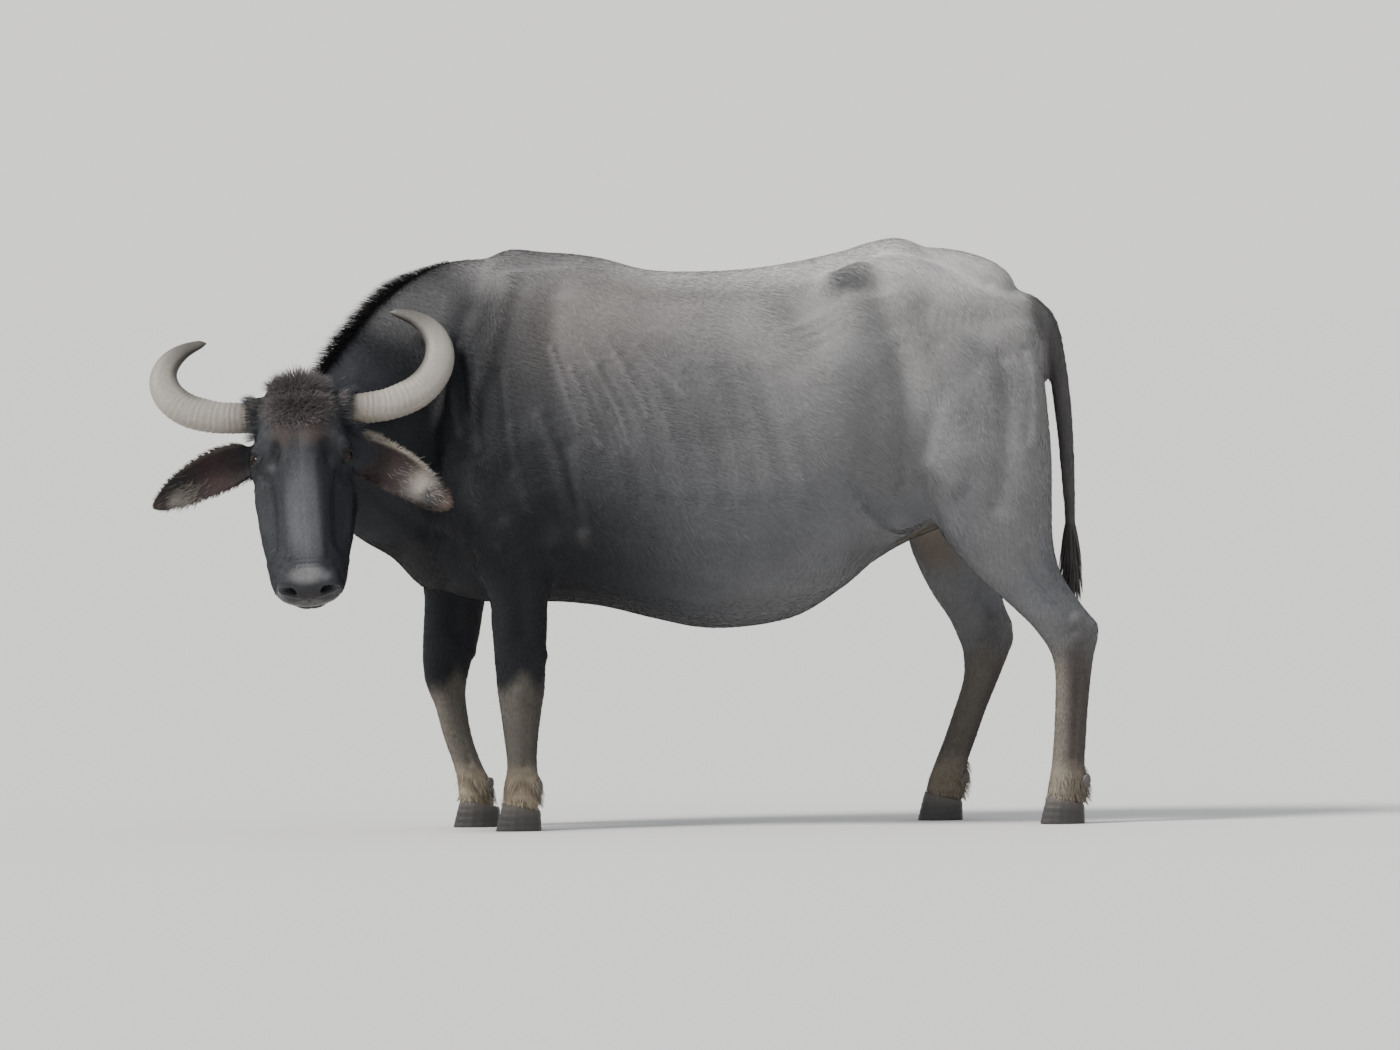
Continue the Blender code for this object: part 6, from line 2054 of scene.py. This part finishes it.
class Hooves:
    """The claws and dewclaws, as smooth covers over their solids."""

    voxel: float = 0.0022

    def build(self) -> list[tuple[bpy.types.Object, str]]:
        """Builds a cover for each claw.

        Returns:
            The covers, each with the name of its node.
        """
        made = []
        for name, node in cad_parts.items():
            if "claw" not in name:
                continue
            cover = bpy.data.objects.new(f"cover_{name}", node.data.copy())
            bpy.context.scene.collection.objects.link(cover)
            cover.data.materials.clear()
            work = bmesh.new()
            work.from_mesh(cover.data)
            bmesh.ops.remove_doubles(work, verts=work.verts, dist=1e-5)
            work.to_mesh(cover.data)
            work.free()
            voxel_remesh(cover, self.voxel)
            surface = Surface(cover)
            surface.relax(0, np.ones(len(surface.points)), 5)
            level = surface.points[:, 2]
            ring = np.sin(level / 0.0026 + 0.6 * np.sin(60 * surface.points[:, 0])) * fade(level, 0.004, 0.012)
            surface.points += surface.normals * (0.00035 * ring - 0.0002)[:, None]
            surface.points[:, 2] = np.maximum(surface.points[:, 2], 0.0)
            surface.commit()
            shade_smooth(cover)
            high = fade(level, 0.025, 0.065)[:, None]
            paint(cover, "tone", np.array((0.042, 0.039, 0.038)) * (1 - high) + np.array((0.085, 0.075, 0.066)) * high)
            made.append((cover, name))
        return made


class Studio:
    """The floor, the lights and the camera."""

    photo_width: float = 1400 * 0.00243
    target: tuple[float, float, float] = (0.1833, 0.0, 0.7330)
    distance: float = 40.0
    elevation: float = math.radians(1.2)
    roll: float = math.radians(-0.8)

    def floor(self) -> bpy.types.Object:
        """Lays the pale floor."""
        work = bmesh.new()
        bmesh.ops.create_grid(work, x_segments=1, y_segments=1, size=150.0)
        thing = new_object("floor", work)
        material = bpy.data.materials.new("floor")
        material.use_nodes = True
        shader = material.node_tree.nodes["Principled BSDF"]
        shader.inputs["Base Color"].default_value = (0.70, 0.69, 0.67, 1.0)
        shader.inputs["Roughness"].default_value = 0.95
        shader.inputs["Specular IOR Level"].default_value = 0.1
        thing.data.materials.append(material)
        return thing

    def light(self) -> None:
        """Adds a soft key from the upper left and an even fill."""
        world = bpy.data.worlds.new("studio")
        world.use_nodes = True
        world.node_tree.nodes.clear()
        nodes = Nodes(world.node_tree)
        fill = nodes.add("ShaderNodeBackground", {"Color": (0.93, 0.96, 1.0, 1.0), "Strength": 0.80})
        backdrop = nodes.add("ShaderNodeBackground", {"Color": (1.0, 0.985, 0.955, 1.0), "Strength": 1.205})
        seen = nodes.add("ShaderNodeLightPath").outputs["Is Camera Ray"]
        mix = nodes.add("ShaderNodeMixShader", {0: seen, 1: fill.outputs[0], 2: backdrop.outputs[0]})
        nodes.add("ShaderNodeOutputWorld", {"Surface": mix.outputs[0]})
        bpy.context.scene.world = world
        lamp = bpy.data.lights.new("key", "SUN")
        lamp.energy = 4.2
        lamp.angle = math.radians(18)
        lamp.color = (1.0, 0.975, 0.94)
        key = bpy.data.objects.new("key", lamp)
        key.rotation_euler = Vector((-0.62, -0.30, 0.73)).to_track_quat("Z", "Y").to_euler()
        bpy.context.scene.collection.objects.link(key)

    def camera(self) -> None:
        """Sets the camera at the photograph's viewing angle."""
        data = bpy.data.cameras.new("camera")
        data.sensor_width = 36.0
        data.lens = 36.0 * self.distance / self.photo_width
        data.clip_start = 1.0
        data.clip_end = 600.0
        camera = bpy.data.objects.new("camera", data)
        back = Vector((0.0, -math.cos(self.elevation), math.sin(self.elevation)))
        place = Vector(self.target) + back * self.distance
        turn = back.to_track_quat("Z", "Y").to_matrix() @ Matrix.Rotation(self.roll, 3, "Z")
        camera.matrix_world = Matrix.Translation(place) @ turn.to_4x4()
        bpy.context.scene.collection.objects.link(camera)
        bpy.context.scene.camera = camera

    def build(self) -> None:
        """Builds all of the studio."""
        self.floor()
        self.light()
        self.camera()


FLESH_NODES = (
    "head", "neck", "torso", "tail", "foreleg_left", "foreleg_right",
    "hindleg_left", "hindleg_right", "ear_left", "ear_right",
)


def dress(thing: bpy.types.Object, finish: bpy.types.Material, nodes: Sequence[str] = ()) -> None:
    """Gives a piece its finish and its place in the frame.

    Args:
        thing: The piece.
        finish: Its material.
        nodes: The CAD nodes that it stands for.
    """
    thing.data.materials.clear()
    thing.data.materials.append(finish)
    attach(thing, "root")
    if nodes:
        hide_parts(*nodes)
    log.info("%s: %d faces", thing.name, len(thing.data.polygons))


def main() -> None:
    """Builds the animal and the studio in order."""
    logging.basicConfig(level=logging.INFO, format="%(message)s")
    group = hide_group()
    hide = HideFinish("hide", wet=True).build(group)
    hair = HideFinish("hair", roughness=0.65, specular=0.25, strength=0.15, grain=320.0).build(group)
    horn = HideFinish("horn", roughness=0.5, specular=0.4, relief=0.0012, strength=0.45, grain=140.0).build(group)
    hoof = HideFinish("hoof", roughness=0.45, specular=0.4, relief=0.0008, strength=0.4, grain=160.0).build(group)
    ball = HideFinish("eye", roughness=0.04, specular=0.22, relief=0.0001, strength=0.0, grain=40.0).build(group)
    flesh = Flesh()
    skin = flesh.build()
    markings = Markings(FoldCrestHighlight(flesh))
    paint(skin, "tone", markings.tone(flesh.surface.points))
    local = AXES.local(flesh.surface.points)
    nose = fade(local[:, 0], 0.495, 0.515) * fade(local[:, 2], -0.115, -0.100)
    mark(skin, "wet", nose)
    dress(skin, hide, FLESH_NODES)
    coat = Coat(flesh, markings)
    for piece in coat.build():
        dress(piece, hair)
    dress(coat.switch(), hair, ("tail_tuft",))
    for side, lift, reach in ((Side.LEFT, 1.09, 1.02), (Side.RIGHT, 0.88, 0.955)):
        dress(Horn(side, lift, reach).build(), horn, (f"horn_{side.word}",))
        dress(Eye(side).build(), ball, (f"eye_{side.word}",))
    for cover, node in Hooves().build():
        dress(cover, hoof, (node,))
    Studio().build()


if __name__ == "__main__":
    main()
